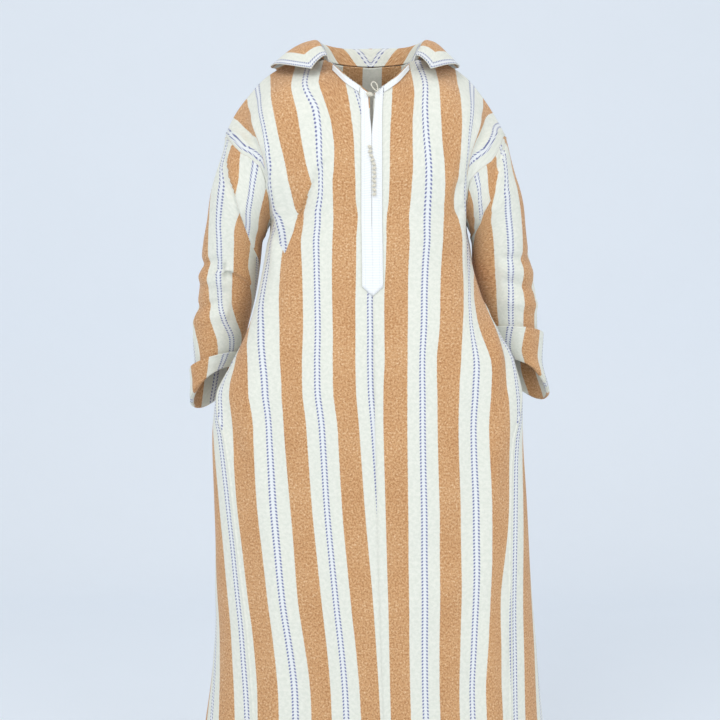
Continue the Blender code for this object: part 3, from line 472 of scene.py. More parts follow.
# places s on the front of six stripe edges, at rows v
STRIPE_COLUMNS = ("v", "e0", "e1", "e2", "e3", "e4", "e5")
STRIPES = {
    RIGHT: [
        (0.00, 0.002, 0.042, 0.122, 0.185, 0.290, 0.375),
        (0.25, 0.006, 0.053, 0.144, 0.213, 0.336, 0.444),
        (0.40, 0.013, 0.075, 0.175, 0.263, 0.402, 0.534),
        (0.54, 0.027, 0.095, 0.202, 0.285, 0.450, 0.598),
        (0.66, 0.037, 0.103, 0.215, 0.304, 0.469, 0.647),
        (0.72, 0.046, 0.121, 0.238, 0.327, 0.531, 0.742),
        (0.77, 0.053, 0.138, 0.271, 0.390, 0.669, 0.900),
        (0.82, 0.058, 0.155, 0.303, 0.464, 0.903, 1.100),
        (0.87, 0.062, 0.172, 0.335, 0.531, 0.969, 1.200),
        (0.92, 0.062, 0.184, 0.370, 0.565, 0.985, 1.220),
        (0.97, 0.063, 0.188, 0.403, 0.583, 0.990, 1.230),
        (1.00, 0.066, 0.188, 0.403, 0.589, 0.990, 1.230),
        (1.06, 0.071, 0.188, 0.373, 0.564, 0.990, 1.230),
        (1.12, 0.075, 0.188, 0.345, 0.530, 0.990, 1.230),
        (1.18, 0.075, 0.188, 0.335, 0.500, 0.990, 1.230),
        (1.24, 0.075, 0.187, 0.335, 0.490, 0.990, 1.230),
        (1.30, 0.077, 0.182, 0.353, 0.492, 0.820, 1.050),
        (1.42, 0.084, 0.187, 0.391, 0.531, 0.830, 1.050),
        (1.60, 0.097, 0.222, 0.434, 0.572, 0.812, 1.020),
        (1.80, 0.129, 0.325, 0.488, 0.614, 0.812, 1.020),
        (2.00, 0.200, 0.331, 0.494, 0.644, 0.812, 1.020),
    ],
    LEFT: [
        (0.00, 0.010, 0.062, 0.158, 0.222, 0.335, 0.420),
        (0.25, 0.015, 0.071, 0.173, 0.248, 0.367, 0.460),
        (0.40, 0.019, 0.081, 0.194, 0.281, 0.433, 0.509),
        (0.54, 0.019, 0.089, 0.208, 0.296, 0.473, 0.629),
        (0.66, 0.019, 0.095, 0.212, 0.301, 0.484, 0.674),
        (0.72, 0.021, 0.099, 0.216, 0.312, 0.517, 0.685),
        (0.77, 0.028, 0.109, 0.231, 0.350, 0.569, 0.756),
        (0.82, 0.033, 0.127, 0.279, 0.428, 0.590, 0.844),
        (0.87, 0.040, 0.152, 0.338, 0.541, 0.700, 0.950),
        (0.92, 0.052, 0.172, 0.396, 0.620, 0.960, 1.200),
        (0.97, 0.062, 0.188, 0.440, 0.646, 1.050, 1.300),
        (1.00, 0.075, 0.189, 0.462, 0.601, 0.980, 1.250),
        (1.06, 0.079, 0.192, 0.454, 0.548, 0.950, 1.220),
        (1.12, 0.081, 0.194, 0.447, 0.544, 0.940, 1.200),
        (1.18, 0.081, 0.194, 0.442, 0.555, 0.920, 1.180),
        (1.30, 0.083, 0.201, 0.432, 0.568, 0.900, 1.150),
        (1.42, 0.088, 0.212, 0.427, 0.583, 0.860, 1.100),
        (1.60, 0.097, 0.230, 0.431, 0.592, 0.830, 1.060),
        (1.80, 0.118, 0.267, 0.444, 0.590, 0.820, 1.040),
        (2.00, 0.156, 0.275, 0.450, 0.594, 0.820, 1.040),
    ],
}
# the right chest's tuck: above its line the stripes stand off sideways
TUCK_COLUMNS = ("v", "line", "e2", "e3", "e4", "e5", "far")
TUCK = [
    (0.94, 0.545, 0.200, 0.350, 0.850, 1.300, 0.550),
    (0.97, 0.491, 0.226, 0.376, 0.880, 1.300, 0.690),
    (1.00, 0.449, 0.251, 0.428, 0.930, 1.300, 0.880),
    (1.06, 0.384, 0.279, 0.453, 1.000, 1.300, 1.060),
    (1.12, 0.343, 0.297, 0.459, 1.020, 1.300, 1.200),
    (1.18, 0.310, 0.314, 0.466, 1.010, 1.250, 1.300),
    (1.24, 0.287, 0.333, 0.476, 0.990, 1.200, 1.300),
    (1.30, 0.264, 0.353, 0.492, 0.930, 1.150, 1.300),
    (1.42, 0.202, 0.391, 0.531, 0.850, 1.080, 1.300),
]
TUCK_ENDS = (0.95, 1.43)
# behind the shoulder fold the stripes run along the armhole instead:
# the fold's place s at rows v, and t at the armhole seam
RIDGE_PLACE = {RIGHT: [(1.20, 1.02), (1.32, 0.90), (1.45, 0.835), (1.60, 0.812), (1.90, 0.812), (2.00, 0.80)],
               LEFT: [(1.20, 1.02), (1.32, 0.92), (1.45, 0.860), (1.60, 0.835), (1.90, 0.820), (2.00, 0.80)]}
SEAM_T = {RIGHT: 0.256, LEFT: 0.2675}

# where the shoulder's cloth ends on the front: the seam's place w at phi
SEAM_LINE = {RIGHT: [(-40, 0.0), (-16, 0.004), (4, 0.018), (26, 0.033), (48, 0.039), (60, 0.038), (74, 0.026), (86, 0.016), (98, 0.0)],
             LEFT: [(-30, 0.0), (0, 0.008), (18, 0.022), (34, 0.038), (52, 0.049), (64, 0.050), (76, 0.043), (90, 0.030), (104, 0.012), (114, 0.0)]}

# the sleeves: places phi of stripe edges at rows w; under the tuck's line and over it
SLEEVE_T = {RIGHT: (-0.090, -0.051, 0.0, 0.039, 0.090), LEFT: (0.129, 0.090, 0.039, 0.0, -0.051)}
SLEEVE_EDGE_COLUMNS = ("w", "f0", "f1", "f2", "f3", "f4")
SLEEVE_EDGES = {
    RIGHT: [
        (0.00, -60, -12, 42, 78, 120),
        (0.06, -50, -2, 46, 78, 122),
        (0.09, -45, 4, 54, 84, 126),
        (0.106, -42, 7, 72, 94, 134),
        (0.125, -38, 10, 92, 108, 142),
        (0.156, -30, 15, 101, 118, 152),
        (0.25, -14, 32, 98, 128, 175),
        (0.32, -6, 44, 101, 134, 184),
        (0.41, -1, 52, 104, 133, 190),
        (0.50, 6, 58, 106, 144, 195),
        (0.60, 12, 65, 110, 164, 206),
        (0.70, 28, 76, 127, 184, 222),
        (0.82, 48, 93, 158, 200, 240),
        (1.00, 58, 104, 170, 212, 250),
    ],
    LEFT: [
        (0.00, -60, 4, 50, 78, 120),
        (0.09, -40, 28, 78, 104, 140),
        (0.14, -20, 36, 107, 131, 165),
        (0.20, -8, 42, 112, 153, 185),
        (0.27, 4, 46, 112, 170, 200),
        (0.38, 11, 52, 112, 188, 222),
        (0.50, 20, 60, 118, 196, 232),
        (0.60, 30, 66, 125, 200, 236),
        (0.71, 34, 70, 128, 204, 240),
        (0.85, 36, 74, 132, 208, 244),
        (1.00, 36, 74, 132, 208, 244),
    ],
}
OVER_T = {RIGHT: (0.0, 0.039, 0.090, 0.129), LEFT: (0.039, 0.0, -0.051, -0.090)}
OVER_COLUMNS = ("w", "line", "f0", "f1", "f2", "f3")
OVER = {
    RIGHT: [
        (0.00, -10, 36, 50, 116, 160),
        (0.05, 20, 39, 62, 125, 168),
        (0.09, 46, 50, 77, 132, 175),
        (0.125, 84, 58, 84, 138, 179),
        (0.156, 98, 62, 90, 142, 181),
        (0.231, 118, 65, 96, 143, 184),
        (0.312, 138, 68, 100, 142, 186),
        (0.425, 186, 68, 104, 134, 190),
    ],
    LEFT: [
        (0.00, -20, 50, 66, 118, 160),
        (0.05, 30, 55, 78, 126, 165),
        (0.081, 66, 66, 90, 138, 172),
        (0.100, 84, 76, 96, 146, 180),
        (0.113, 98, 80, 99, 152, 184),
        (0.125, 134, 84, 102, 156, 188),
        (0.200, 170, 90, 108, 160, 192),
    ],
}
SLEEVE_SEAM = 232       # the sleeve's own seam, at the back under the arm

# ------------------------------------------------------------------- creases
# kind, width (m), depth (m), then the places it runs through.
# A trough and a ridge are soft lines; a lap drops sharply on one side only.
CREASES = {
    "front_right": [
        ("lap", 0.030, 0.0050, ((0.535, 0.95), (0.449, 1.00), (0.343, 1.12), (0.287, 1.24), (0.236, 1.36), (0.194, 1.45))),
        ("trough", 0.008, 0.0040, ((0.540, 0.94), (0.690, 0.97), (0.880, 1.00), (0.985, 1.04))),
        ("ridge", 0.010, 0.0040, ((0.98, 1.22), (0.90, 1.32), (0.835, 1.45), (0.812, 1.60), (0.812, 1.85))),
        ("trough", 0.010, 0.0050, ((0.99, 1.34), (0.92, 1.45), (0.885, 1.62), (0.880, 1.85))),
        ("trough", 0.016, 0.0030, ((0.72, 1.02), (0.62, 0.96), (0.56, 0.88), (0.52, 0.78))),
        ("ridge", 0.022, 0.0040, ((0.62, 0.86), (0.44, 0.62), (0.36, 0.40), (0.33, 0.05))),
        ("trough", 0.020, 0.0035, ((0.50, 0.80), (0.32, 0.55), (0.26, 0.30), (0.24, 0.02))),
        ("trough", 0.014, 0.0030, ((0.86, 0.74), (0.66, 0.66), (0.52, 0.60))),
        ("ridge", 0.014, 0.0025, ((0.10, 0.72), (0.13, 0.45), (0.12, 0.05))),
    ],
    "front_left": [
        ("trough", 0.010, 0.0045, ((0.70, 1.02), (0.58, 1.06), (0.56, 1.14), (0.62, 1.24))),
        ("ridge", 0.012, 0.0035, ((0.62, 1.00), (0.53, 1.06), (0.50, 1.14), (0.52, 1.28), (0.55, 1.44))),
        ("ridge", 0.010, 0.0040, ((0.98, 1.22), (0.92, 1.32), (0.860, 1.45), (0.835, 1.60), (0.820, 1.85))),
        ("trough", 0.010, 0.0050, ((0.99, 1.36), (0.93, 1.46), (0.895, 1.62), (0.885, 1.85))),
        ("ridge", 0.014, 0.0035, ((0.98, 0.87), (0.82, 0.82), (0.68, 0.78), (0.58, 0.74))),
        ("trough", 0.012, 0.0035, ((0.98, 0.82), (0.84, 0.785), (0.70, 0.74), (0.60, 0.70))),
        ("ridge", 0.022, 0.0040, ((0.60, 0.70), (0.44, 0.48), (0.40, 0.25), (0.38, 0.02))),
        ("trough", 0.020, 0.0035, ((0.44, 0.78), (0.34, 0.52), (0.30, 0.28), (0.28, 0.02))),
        ("ridge", 0.014, 0.0025, ((0.12, 0.60), (0.14, 0.35), (0.15, 0.05))),
    ],
    "back_right": [
        ("ridge", 0.012, 0.0040, ((0.98, 1.22), (0.86, 1.42), (0.80, 1.62), (0.79, 1.85))),
        ("ridge", 0.024, 0.0050, ((0.56, 0.92), (0.46, 0.62), (0.42, 0.30), (0.40, 0.02))),
        ("trough", 0.022, 0.0045, ((0.30, 1.05), (0.27, 0.70), (0.25, 0.35), (0.24, 0.02))),
        ("trough", 0.014, 0.0040, ((0.98, 0.86), (0.74, 0.78), (0.56, 0.74))),
        ("ridge", 0.018, 0.0035, ((0.08, 0.70), (0.10, 0.40), (0.08, 0.04))),
    ],
    "back_left": [
        ("ridge", 0.012, 0.0040, ((0.98, 1.24), (0.87, 1.44), (0.81, 1.64), (0.80, 1.85))),
        ("ridge", 0.024, 0.0045, ((0.52, 0.90), (0.48, 0.60), (0.45, 0.30), (0.44, 0.02))),
        ("trough", 0.022, 0.0045, ((0.34, 1.00), (0.30, 0.66), (0.29, 0.33), (0.27, 0.02))),
        ("trough", 0.014, 0.0035, ((0.98, 0.88), (0.76, 0.82), (0.60, 0.80))),
    ],
    "sleeve_right": [
        ("lap", 0.024, 0.0050, ((20, 0.05), (62, 0.10), (84, 0.125), (98, 0.156), (118, 0.231), (138, 0.312), (176, 0.410))),
        ("trough", 0.009, 0.0055, ((-20, 0.40), (40, 0.425), (90, 0.405))),
        ("lap", 0.018, 0.0075, ((60, 0.47), (92, 0.455), (120, 0.48), (160, 0.53))),
        ("ridge", 0.011, 0.0050, ((10, 0.47), (60, 0.50), (110, 0.53))),
        ("trough", 0.009, 0.0050, ((-10, 0.60), (50, 0.63), (100, 0.60))),
        ("ridge", 0.010, 0.0030, ((0, 0.68), (60, 0.70), (120, 0.66))),
        ("trough", 0.012, 0.0035, ((240, 0.50), (300, 0.46), (340, 0.43))),
        ("trough", 0.012, 0.0035, ((230, 0.24), (290, 0.20), (330, 0.12))),
    ],
    "sleeve_left": [
        ("lap", 0.024, -0.0050, ((10, 0.04), (46, 0.062), (80, 0.094), (98, 0.113), (134, 0.135), (170, 0.20))),
        ("trough", 0.009, 0.0050, ((0, 0.36), (50, 0.40), (110, 0.385))),
        ("ridge", 0.012, 0.0030, ((-10, 0.44), (60, 0.46), (120, 0.44))),
        ("trough", 0.009, 0.0055, ((10, 0.52), (60, 0.53), (110, 0.50))),
        ("ridge", 0.010, 0.0035, ((0, 0.60), (60, 0.62), (120, 0.60))),
        ("trough", 0.012, 0.0035, ((240, 0.48), (300, 0.44), (340, 0.41))),
        ("trough", 0.012, 0.0035, ((230, 0.26), (290, 0.20), (330, 0.14))),
    ],
}


def curve_of(places, surface, parts=8):
    """A smooth line on a surface through a crease's places."""
    flat = [Vector((a, b, 0)) for a, b in places]
    n = parts * (len(flat) - 1)
    return np.array([tuple(surface(*through(flat, k / n)[:2])) for k in range(n + 1)])


def near_line(points, line):
    """Distance of each point to a line, its place along it from 0 to 1, and the step to it."""
    best = np.full(len(points), 1e9)
    place = np.zeros(len(points))
    step = np.zeros_like(points)
    run = np.concatenate([[0], np.cumsum(np.linalg.norm(np.diff(line, axis=0), axis=1))])
    for k in range(len(line) - 1):
        d = line[k + 1] - line[k]
        f = np.clip((points - line[k]) @ d / max(d @ d, 1e-12), 0, 1)
        r = points - line[k] - f[:, None] * d
        far = np.linalg.norm(r, axis=1)
        m = far < best
        best[m], step[m] = far[m], r[m]
        place[m] = (run[k] + f[m] * (run[k + 1] - run[k])) / run[-1]
    return best, place, step


def grid_normals(P, towards):
    """Unit normals of a grid, on the side of the given rough normals."""
    du, dv = np.gradient(P, axis=1), np.gradient(P, axis=0)
    n = np.cross(du, dv)
    n /= np.maximum(np.linalg.norm(n, axis=2, keepdims=True), 1e-12)
    sign = np.sign(np.sum(n * towards, axis=2, keepdims=True))
    sign[sign == 0] = 1
    return n * sign


def pressed(P, N, creases, surface, keep=None, wrap=False):
    """The grid with its creases pressed in. keep scales them, 0 where nothing may move."""
    flat = P.reshape(-1, 3)
    across_dir = np.gradient(P, axis=1).reshape(-1, 3)
    move = np.zeros(len(flat))
    for kind, width, depth, places in creases:
        dist, place, step = near_line(flat, curve_of(places, surface))
        taper = np.clip(place / 0.18, 0, 1) * np.clip((1 - place) / 0.22, 0, 1)
        taper = taper * taper * (3 - 2 * taper)
        if kind == "lap":
            side = np.sign(np.sum(step * across_dir, axis=1)) * math.copysign(1, depth)
            over = np.clip(side * dist / 0.0016, -1, 1) * 0.5 + 0.5
            tall = np.exp(-(dist / width) ** 2)
            move += taper * abs(depth) * (tall * over - 0.5 * (1 - over) * np.exp(-(dist / (width * 0.4)) ** 2))
        else:
            move += (1 if kind == "ridge" else -1) * taper * depth * np.exp(-(dist / width) ** 2)
    move = move.reshape(P.shape[:2])
    if keep is not None:
        move = move * keep
    return P + N * move[..., None]


def waves(P, seed, size, depth):
    """Soft uneven rises and falls of cloth, made of a few sine waves through space."""
    rng = np.random.default_rng(seed)
    out = np.zeros(P.shape[:2])
    for k in range(9):
        d = rng.normal(size=3) * (1.0, 1.0, 0.55)
        d /= np.linalg.norm(d)
        long = size * rng.uniform(0.7, 1.8)
        out += np.sin(P @ d * 2 * math.pi / long + rng.uniform(0, 7)) * rng.uniform(0.5, 1)
    return out * depth / 3


def arcs(P):
    """Distance along each row of a grid from its first column."""
    step = np.linalg.norm(np.diff(P, axis=1), axis=2)
    return np.concatenate([np.zeros((len(P), 1)), np.cumsum(step, axis=1)], axis=1)


def along_col(P):
    step = np.linalg.norm(np.diff(P, axis=0), axis=2)
    return np.concatenate([np.zeros((1, P.shape[1])), np.cumsum(step, axis=0)], axis=0)


def t_between(arc, places, edges, ts):
    """t along one row: straight between the stripe edges, true distance beyond them."""
    at = np.interp(edges, places, arc)
    beyond = [max(0.0, e - places[-1]) for e in edges]
    rate = (arc[-1] - arc[-4]) / max(places[-1] - places[-4], 1e-9)
    at = at + np.array(beyond) * rate
    t = np.interp(arc, at, ts)
    up = 1 if ts[-1] > ts[0] else -1
    t = np.where(arc < at[0], ts[0] - up * (at[0] - arc), t)
    return np.where(arc > at[-1], ts[-1] + up * (arc - at[-1]), t)


def shell(name, P, N, T, L, thick, closed, mat, node, over=None, ridge=None):
    """A thin two-layered cloth with the stripe places as its cloth map.
    over and ridge are (t, d): the stripes shown where the distance d past a fold is positive."""
    rows, cols = P.shape[:2]
    inner = P - N * thick
    points = np.concatenate([P.reshape(-1, 3), inner.reshape(-1, 3)])
    span = cols if closed else cols - 1
    i, j = np.meshgrid(np.arange(rows - 1), np.arange(span), indexing="ij")
    k = (j + 1) % cols
    a, b, c, d = i * cols + j, i * cols + k, (i + 1) * cols + k, (i + 1) * cols + j
    outer = np.stack([a, b, c, d], axis=-1).reshape(-1, 4)
    mid = len(outer) // 2
    face = points[outer[mid]]
    sum_n = 0.0
    for q in range(0, len(outer), max(1, len(outer) // 97)):
        f = points[outer[q]]
        sum_n += np.sign(np.dot(np.cross(f[1] - f[0], f[3] - f[0]), N.reshape(-1, 3)[outer[q][0]]))
    if sum_n < 0:
        outer = outer[:, ::-1]
    under = outer[:, ::-1] + rows * cols
    rims = []
    off = rows * cols
    ends = np.arange(span)
    for r in (0, rows - 1):
        e0, e1 = r * cols + ends, r * cols + (ends + 1) % cols
        rims.append(np.stack([e0, e1, e1 + off, e0 + off], axis=-1)[:, ::(1 if (r == 0) == (sum_n < 0) else -1)])
    if not closed:
        ends = np.arange(rows - 1)
        for col in (0, cols - 1):
            e0, e1 = ends * cols + col, (ends + 1) * cols + col
            rims.append(np.stack([e0, e1, e1 + off, e0 + off], axis=-1)[:, ::(1 if (col == 0) == (sum_n >= 0) else -1)])
    faces = np.concatenate([outer, under] + rims)
    mesh = bpy.data.meshes.new(name)
    mesh.vertices.add(len(points))
    mesh.vertices.foreach_set("co", points.astype(np.float32).ravel())
    mesh.loops.add(faces.size)
    mesh.loops.foreach_set("vertex_index", faces.astype(np.int32).ravel())
    mesh.polygons.add(len(faces))
    mesh.polygons.foreach_set("loop_start", (np.arange(len(faces)) * 4).astype(np.int32))
    mesh.update(calc_edges=True)
    mesh.polygons.foreach_set("use_smooth", np.ones(len(faces), dtype=bool))
    uv = mesh.uv_layers.new(name="cloth")
    tl = np.stack([np.concatenate([T.ravel(), T.ravel()]), np.concatenate([L.ravel(), L.ravel()])], axis=-1)
    if closed:
        per_loop = tl[faces.ravel()].reshape(-1, 4, 2)
        jump = np.abs(per_loop[:, :, 0] - per_loop[:, :1, 0]).max(axis=1) > 0.05
        lead = per_loop[:, :, 0].max(axis=1, keepdims=True)
        far = np.abs(per_loop[:, :, 0] - lead) > 0.03
        per_loop[:, :, 0] = np.where(jump[:, None] & far, lead, per_loop[:, :, 0])
        uv.data.foreach_set("uv", per_loop.astype(np.float32).ravel())
    else:
        uv.data.foreach_set("uv", tl[faces.ravel()].astype(np.float32).ravel())
    for word, pair in (("over", over), ("ridge", ridge)):
        extra = mesh.uv_layers.new(name=word)
        a, b = pair if pair is not None else (T, np.full(T.shape, -0.05))
        both = np.stack([np.concatenate([a.ravel(), a.ravel()]), np.concatenate([b.ravel(), b.ravel()])], axis=-1)
        extra.data.foreach_set("uv", both[faces.ravel()].astype(np.float32).ravel())
    mesh.validate()
    obj = bpy.data.objects.new(name, mesh)
    bpy.context.scene.collection.objects.link(obj)
    mesh.materials.append(mat)
    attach(obj, "root")
    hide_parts(node)
    return obj


# ------------------------------------------------------------------ materials
def rgb(r, g, b):
    """A colour given as it looks on a screen, for the renderer."""
    lin = lambda c: c / 12.92 if c <= 0.04045 else ((c + 0.055) / 1.055) ** 2.4
    return (lin(r / 255), lin(g / 255), lin(b / 255), 1.0)


class Nodes:
    """Short ways to add shader nodes."""

    def __init__(self, name):
        self.mat = bpy.data.materials.new(name)
        self.mat.use_nodes = True
        self.tree = self.mat.node_tree
        self.tree.nodes.clear()
        self.out = self.tree.nodes.new("ShaderNodeOutputMaterial")
        self.bsdf = self.tree.nodes.new("ShaderNodeBsdfPrincipled")
        self.link(self.bsdf.outputs[0], self.out.inputs[0])

    def link(self, a, b):
        self.tree.links.new(a, b)

    def put(self, socket, value):
        if hasattr(value, "links"):
            self.link(value, socket)
        else:
            socket.default_value = value

    def math(self, op, a, b=0.0, c=None):
        n = self.tree.nodes.new("ShaderNodeMath")
        n.operation = op
        self.put(n.inputs[0], a)
        self.put(n.inputs[1], b)
        if c is not None:
            self.put(n.inputs[2], c)
        return n.outputs[0]

    def ramp(self, x, a, b, lo=0.0, hi=1.0):
        n = self.tree.nodes.new("ShaderNodeMapRange")
        n.interpolation_type = "SMOOTHSTEP"
        for k, v in zip(range(5), (x, a, b, lo, hi)):
            self.put(n.inputs[k], v)
        return n.outputs[0]

    def mix(self, f, a, b):
        n = self.tree.nodes.new("ShaderNodeMix")
        n.data_type = "RGBA"
        self.put(n.inputs[0], f)
        self.put(n.inputs[6], a)
        self.put(n.inputs[7], b)
        return n.outputs[2]

    def cloth_map(self, word="cloth"):
        n = self.tree.nodes.new("ShaderNodeUVMap")
        n.uv_map = word
        s = self.tree.nodes.new("ShaderNodeSeparateXYZ")
        self.link(n.outputs[0], s.inputs[0])
        return n.outputs[0], s.outputs[0], s.outputs[1]

    def noise(self, at, scale, detail=2.0, rough=0.6):
        n = self.tree.nodes.new("ShaderNodeTexNoise")
        self.put(n.inputs["Vector"], at)
        n.inputs["Scale"].default_value = scale
        n.inputs["Detail"].default_value = detail
        n.inputs["Roughness"].default_value = rough
        return n.outputs[0]

    def cells(self, at, scale):
        n = self.tree.nodes.new("ShaderNodeTexVoronoi")
        self.put(n.inputs["Vector"], at)
        n.inputs["Scale"].default_value = scale
        return n.outputs[0]

    def bump(self, height, distance, strength):
        n = self.tree.nodes.new("ShaderNodeBump")
        n.inputs["Strength"].default_value = strength
        n.inputs["Distance"].default_value = distance
        self.put(n.inputs["Height"], height)
        self.link(n.outputs[0], self.bsdf.inputs["Normal"])

    def finish(self, colour, rough=0.92, sheen=0.18):
        self.put(self.bsdf.inputs["Base Color"], colour)
        self.bsdf.inputs["Roughness"].default_value = rough
        self.bsdf.inputs["Specular IOR Level"].default_value = 0.15
        self.bsdf.inputs["Sheen Weight"].default_value = sheen
        self.bsdf.inputs["Sheen Roughness"].default_value = 0.6
        return self.mat


def striped_cloth(name):
    n = Nodes(name)
    uv, t, l = n.cloth_map()
    for word in ("over", "ridge"):
        _, t2, d2 = n.cloth_map(word)
        share = n.ramp(d2, 0.0, 0.0006)
        t = n.math("ADD", t, n.math("MULTIPLY", share, n.math("SUBTRACT", t2, t)))
    joined = n.tree.nodes.new("ShaderNodeCombineXYZ")
    n.link(t, joined.inputs[0])
    n.link(l, joined.inputs[1])
    uv = joined.outputs[0]
    ragged = n.math("MULTIPLY", n.math("SUBTRACT", n.noise(uv, 420.0), 0.5), 0.0022)
    m = n.math("FLOORED_MODULO", n.math("ADD", t, ragged), REPEAT)
    tan = n.math("MAXIMUM", n.ramp(m, BROWN - 0.0004, BROWN + 0.0005, 1.0, 0.0),
                 n.ramp(m, REPEAT - 0.0005, REPEAT, 0.0, 1.0))
    # the tan yarn is looped and flecked; between the loops, where the bump sinks, it is painted darker: painted shade
    loops = n.cells(uv, 430.0)
    fleck = n.noise(uv, 300.0, 3.0, 0.7)
    broad = n.noise(uv, 9.0, 2.0)
    tone = n.math("ADD", fleck, n.math("MULTIPLY", n.math("SUBTRACT", broad, 0.5), 0.16))
    warm = n.mix(n.ramp(tone, 0.36, 0.52), rgb(*TAN_FLECK_AND_SHADE), rgb(*TAN_MID))
    warm = n.mix(n.ramp(tone, 0.52, 0.70), warm, rgb(*TAN_LIGHT))
    # painted shade: darker towards the edges of each loop cell, where the bump is lowest
    warm = n.mix(n.ramp(loops, 0.35, 0.75, 0.0, 0.30), warm, rgb(*TAN_FLECK_AND_SHADE))
    # the white ground has a fine rib, and between its lines it is whiter
    m0 = n.math("FLOORED_MODULO", t, REPEAT)
    c = n.math("ABSOLUTE", n.math("SUBTRACT", m0, LINES))
    rib = n.math("SINE", n.math("MULTIPLY", t, 2 * math.pi / 0.0017))
    weft = n.math("SINE", n.math("MULTIPLY", l, 2 * math.pi / 0.0013))
    slub = n.noise(uv, 170.0, 3.0, 0.65)
    pale = n.mix(n.ramp(slub, 0.30, 0.72), rgb(*PALE_DARK), rgb(*PALE_LIGHT))
    pale = n.mix(n.ramp(c, 0.0046, 0.0058, 0.75, 0.0), pale, rgb(*PALE_MIDDLE))
    # the pair of blue lines, each a chain of small slanting stitches
    chain = n.math("PINGPONG", l, 0.0028)
    sway = n.math("MULTIPLY", n.math("SUBTRACT", chain, 0.0014), 0.40)
    off = n.math("ABSOLUTE", n.math("ADD", n.math("SUBTRACT", c, 0.0038), sway))
    line = n.ramp(off, 0.0009, 0.0017, 1.0, 0.0)
    dash = n.ramp(n.math("SINE", n.math("MULTIPLY", l, 2 * math.pi / 0.0056)), -0.70, 0.30, 0.10, 1.0)
    blue = n.mix(n.math("MULTIPLY", n.math("MULTIPLY", line, dash), 0.95), pale, rgb(*BLUE))
    colour = n.mix(tan, blue, warm)
    height = n.math("ADD", n.math("MULTIPLY", tan, n.math("ADD", n.math("MULTIPLY", fleck, 1.0), n.math("MULTIPLY", loops, -0.7))),
                    n.math("MULTIPLY", n.math("SUBTRACT", 1.0, tan),
                           n.math("ADD", n.math("ADD", n.math("MULTIPLY", rib, 0.10), n.math("MULTIPLY", weft, 0.06)),
                                  n.math("MULTIPLY", line, 0.25))))
    n.bump(height, 0.0011, 0.75)
    return n.finish(colour)


def braid(name, pitch=0.0028, cord_at=None):
    """White ribbed braid; where cord_at is given a twisted cord borders it there."""
    n = Nodes(name)
    uv, t, l = n.cloth_map()
    rib = n.math("SINE", n.math("MULTIPLY", l, 2 * math.pi / pitch))
    twist = n.math("SINE", n.math("ADD", n.math("MULTIPLY", l, 2 * math.pi / 0.0030), n.math("MULTIPLY", t, 1800.0)))
    height = rib
    if cord_at is not None:
        edge = n.ramp(n.math("ABSOLUTE", n.math("SUBTRACT", t, cord_at)), 0.0011, 0.0017, 1.0, 0.0)
        height = n.math("ADD", n.math("MULTIPLY", rib, n.math("SUBTRACT", 1.0, edge)), n.math("MULTIPLY", twist, edge))
        column = n.ramp(n.math("ABSOLUTE", n.math("SUBTRACT", t, cord_at - 0.0042)), 0.0002, 0.0008, 1.0, 0.0)
        height = n.math("SUBTRACT", height, n.math("MULTIPLY", column, 1.2))
    soft = n.noise(uv, 220.0, 2.0)
    # painted shade: the colour follows the rib height, darker and bluer in the hollows between ribs and in the groove
    # beside the cord; the noise next adds random tone
    base = n.mix(n.ramp(height, -1.0, 0.4), rgb(*BRAID_SHADE_AND_TONE), rgb(*BRAID_LIGHT))
    base = n.mix(n.ramp(soft, 0.3, 0.7, 0.0, 0.25), base, rgb(*BRAID_SHADE_AND_TONE))
    n.bump(n.math("ADD", n.math("MULTIPLY", height, 0.4), n.math("MULTIPLY", soft, 0.5)), 0.0006, 0.6)
    return n.finish(base, 0.75, 0.1)


def silk(name):
    n = Nodes(name)
    c = n.tree.nodes.new("ShaderNodeTexCoord")
    at = c.outputs["Object"]
    thread = n.noise(at, 1500.0, 2.0)
    strand = n.cells(at, 700.0)
    colour = n.mix(n.ramp(thread, 0.35, 0.65), rgb(*SILK_DARK), rgb(*SILK_LIGHT))
    n.bump(n.math("ADD", thread, strand), 0.0005, 0.7)
    return n.finish(colour, 0.6, 0.1)


# the darkest tan is both the dark flecks of the yarn and the painted shade between the loops
TAN_FLECK_AND_SHADE, TAN_MID, TAN_LIGHT = (176, 124, 78), (211, 163, 115), (239, 208, 168)
PALE_DARK, PALE_LIGHT, PALE_MIDDLE = (221, 223, 211), (234, 234, 223), (231, 234, 238)
BLUE = (96, 102, 152)
# the darker braid colour is the painted shade in the rib hollows, and also the random tone
BRAID_SHADE_AND_TONE, BRAID_LIGHT = (228, 232, 235), (247, 247, 245)
SILK_DARK, SILK_LIGHT = (196, 188, 168), (238, 234, 220)

cloth_mat = striped_cloth("striped_cloth")
hood_mat = striped_cloth("hood_cloth")
placket_mat = braid("placket_braid", cord_at=0.0165)
trim_mat = braid("neck_braid", 0.0036)
silk_mat = silk("cream_cord")


# ---------------------------------------------------------------- front panels
def spread(n, fine=(0.004, 0.009, 0.016, 0.028)):
    """Columns from 0 to 1, closer together at both edges."""
    mid = np.linspace(fine[-1] + 0.014, 1 - fine[-1] - 0.014, n - 2 * len(fine) - 2)
    return np.concatenate([[0.0], fine, mid, [1 - f for f in reversed(fine)], [1.0]])


FINE = 1.0
ROWS = np.concatenate([[0.0, 0.0012, 0.003, 0.006],
                       np.linspace(0.010, 0.865, int(150 * FINE)),
                       np.linspace(0.87, 2.0, int(170 * FINE))])
COLS = spread(int(70 * max(FINE, 0.7)))
A_SEAM = {side: curve_of(SEAM_LINE[side] + [(140, 0.0), (180, 0.0)], lambda a, b, side=side: sleeve_point(side, a, max(b, 0.0)), 4)
          for side in (RIGHT, LEFT)}


def roll(u, width, rise, dip):
    """The seam's raised edge: a small roll with a faint dip beside it."""
    return rise * np.exp(-(u / width) ** 2) - dip * np.exp(-((u - 2.4 * width) / (1.2 * width)) ** 2)


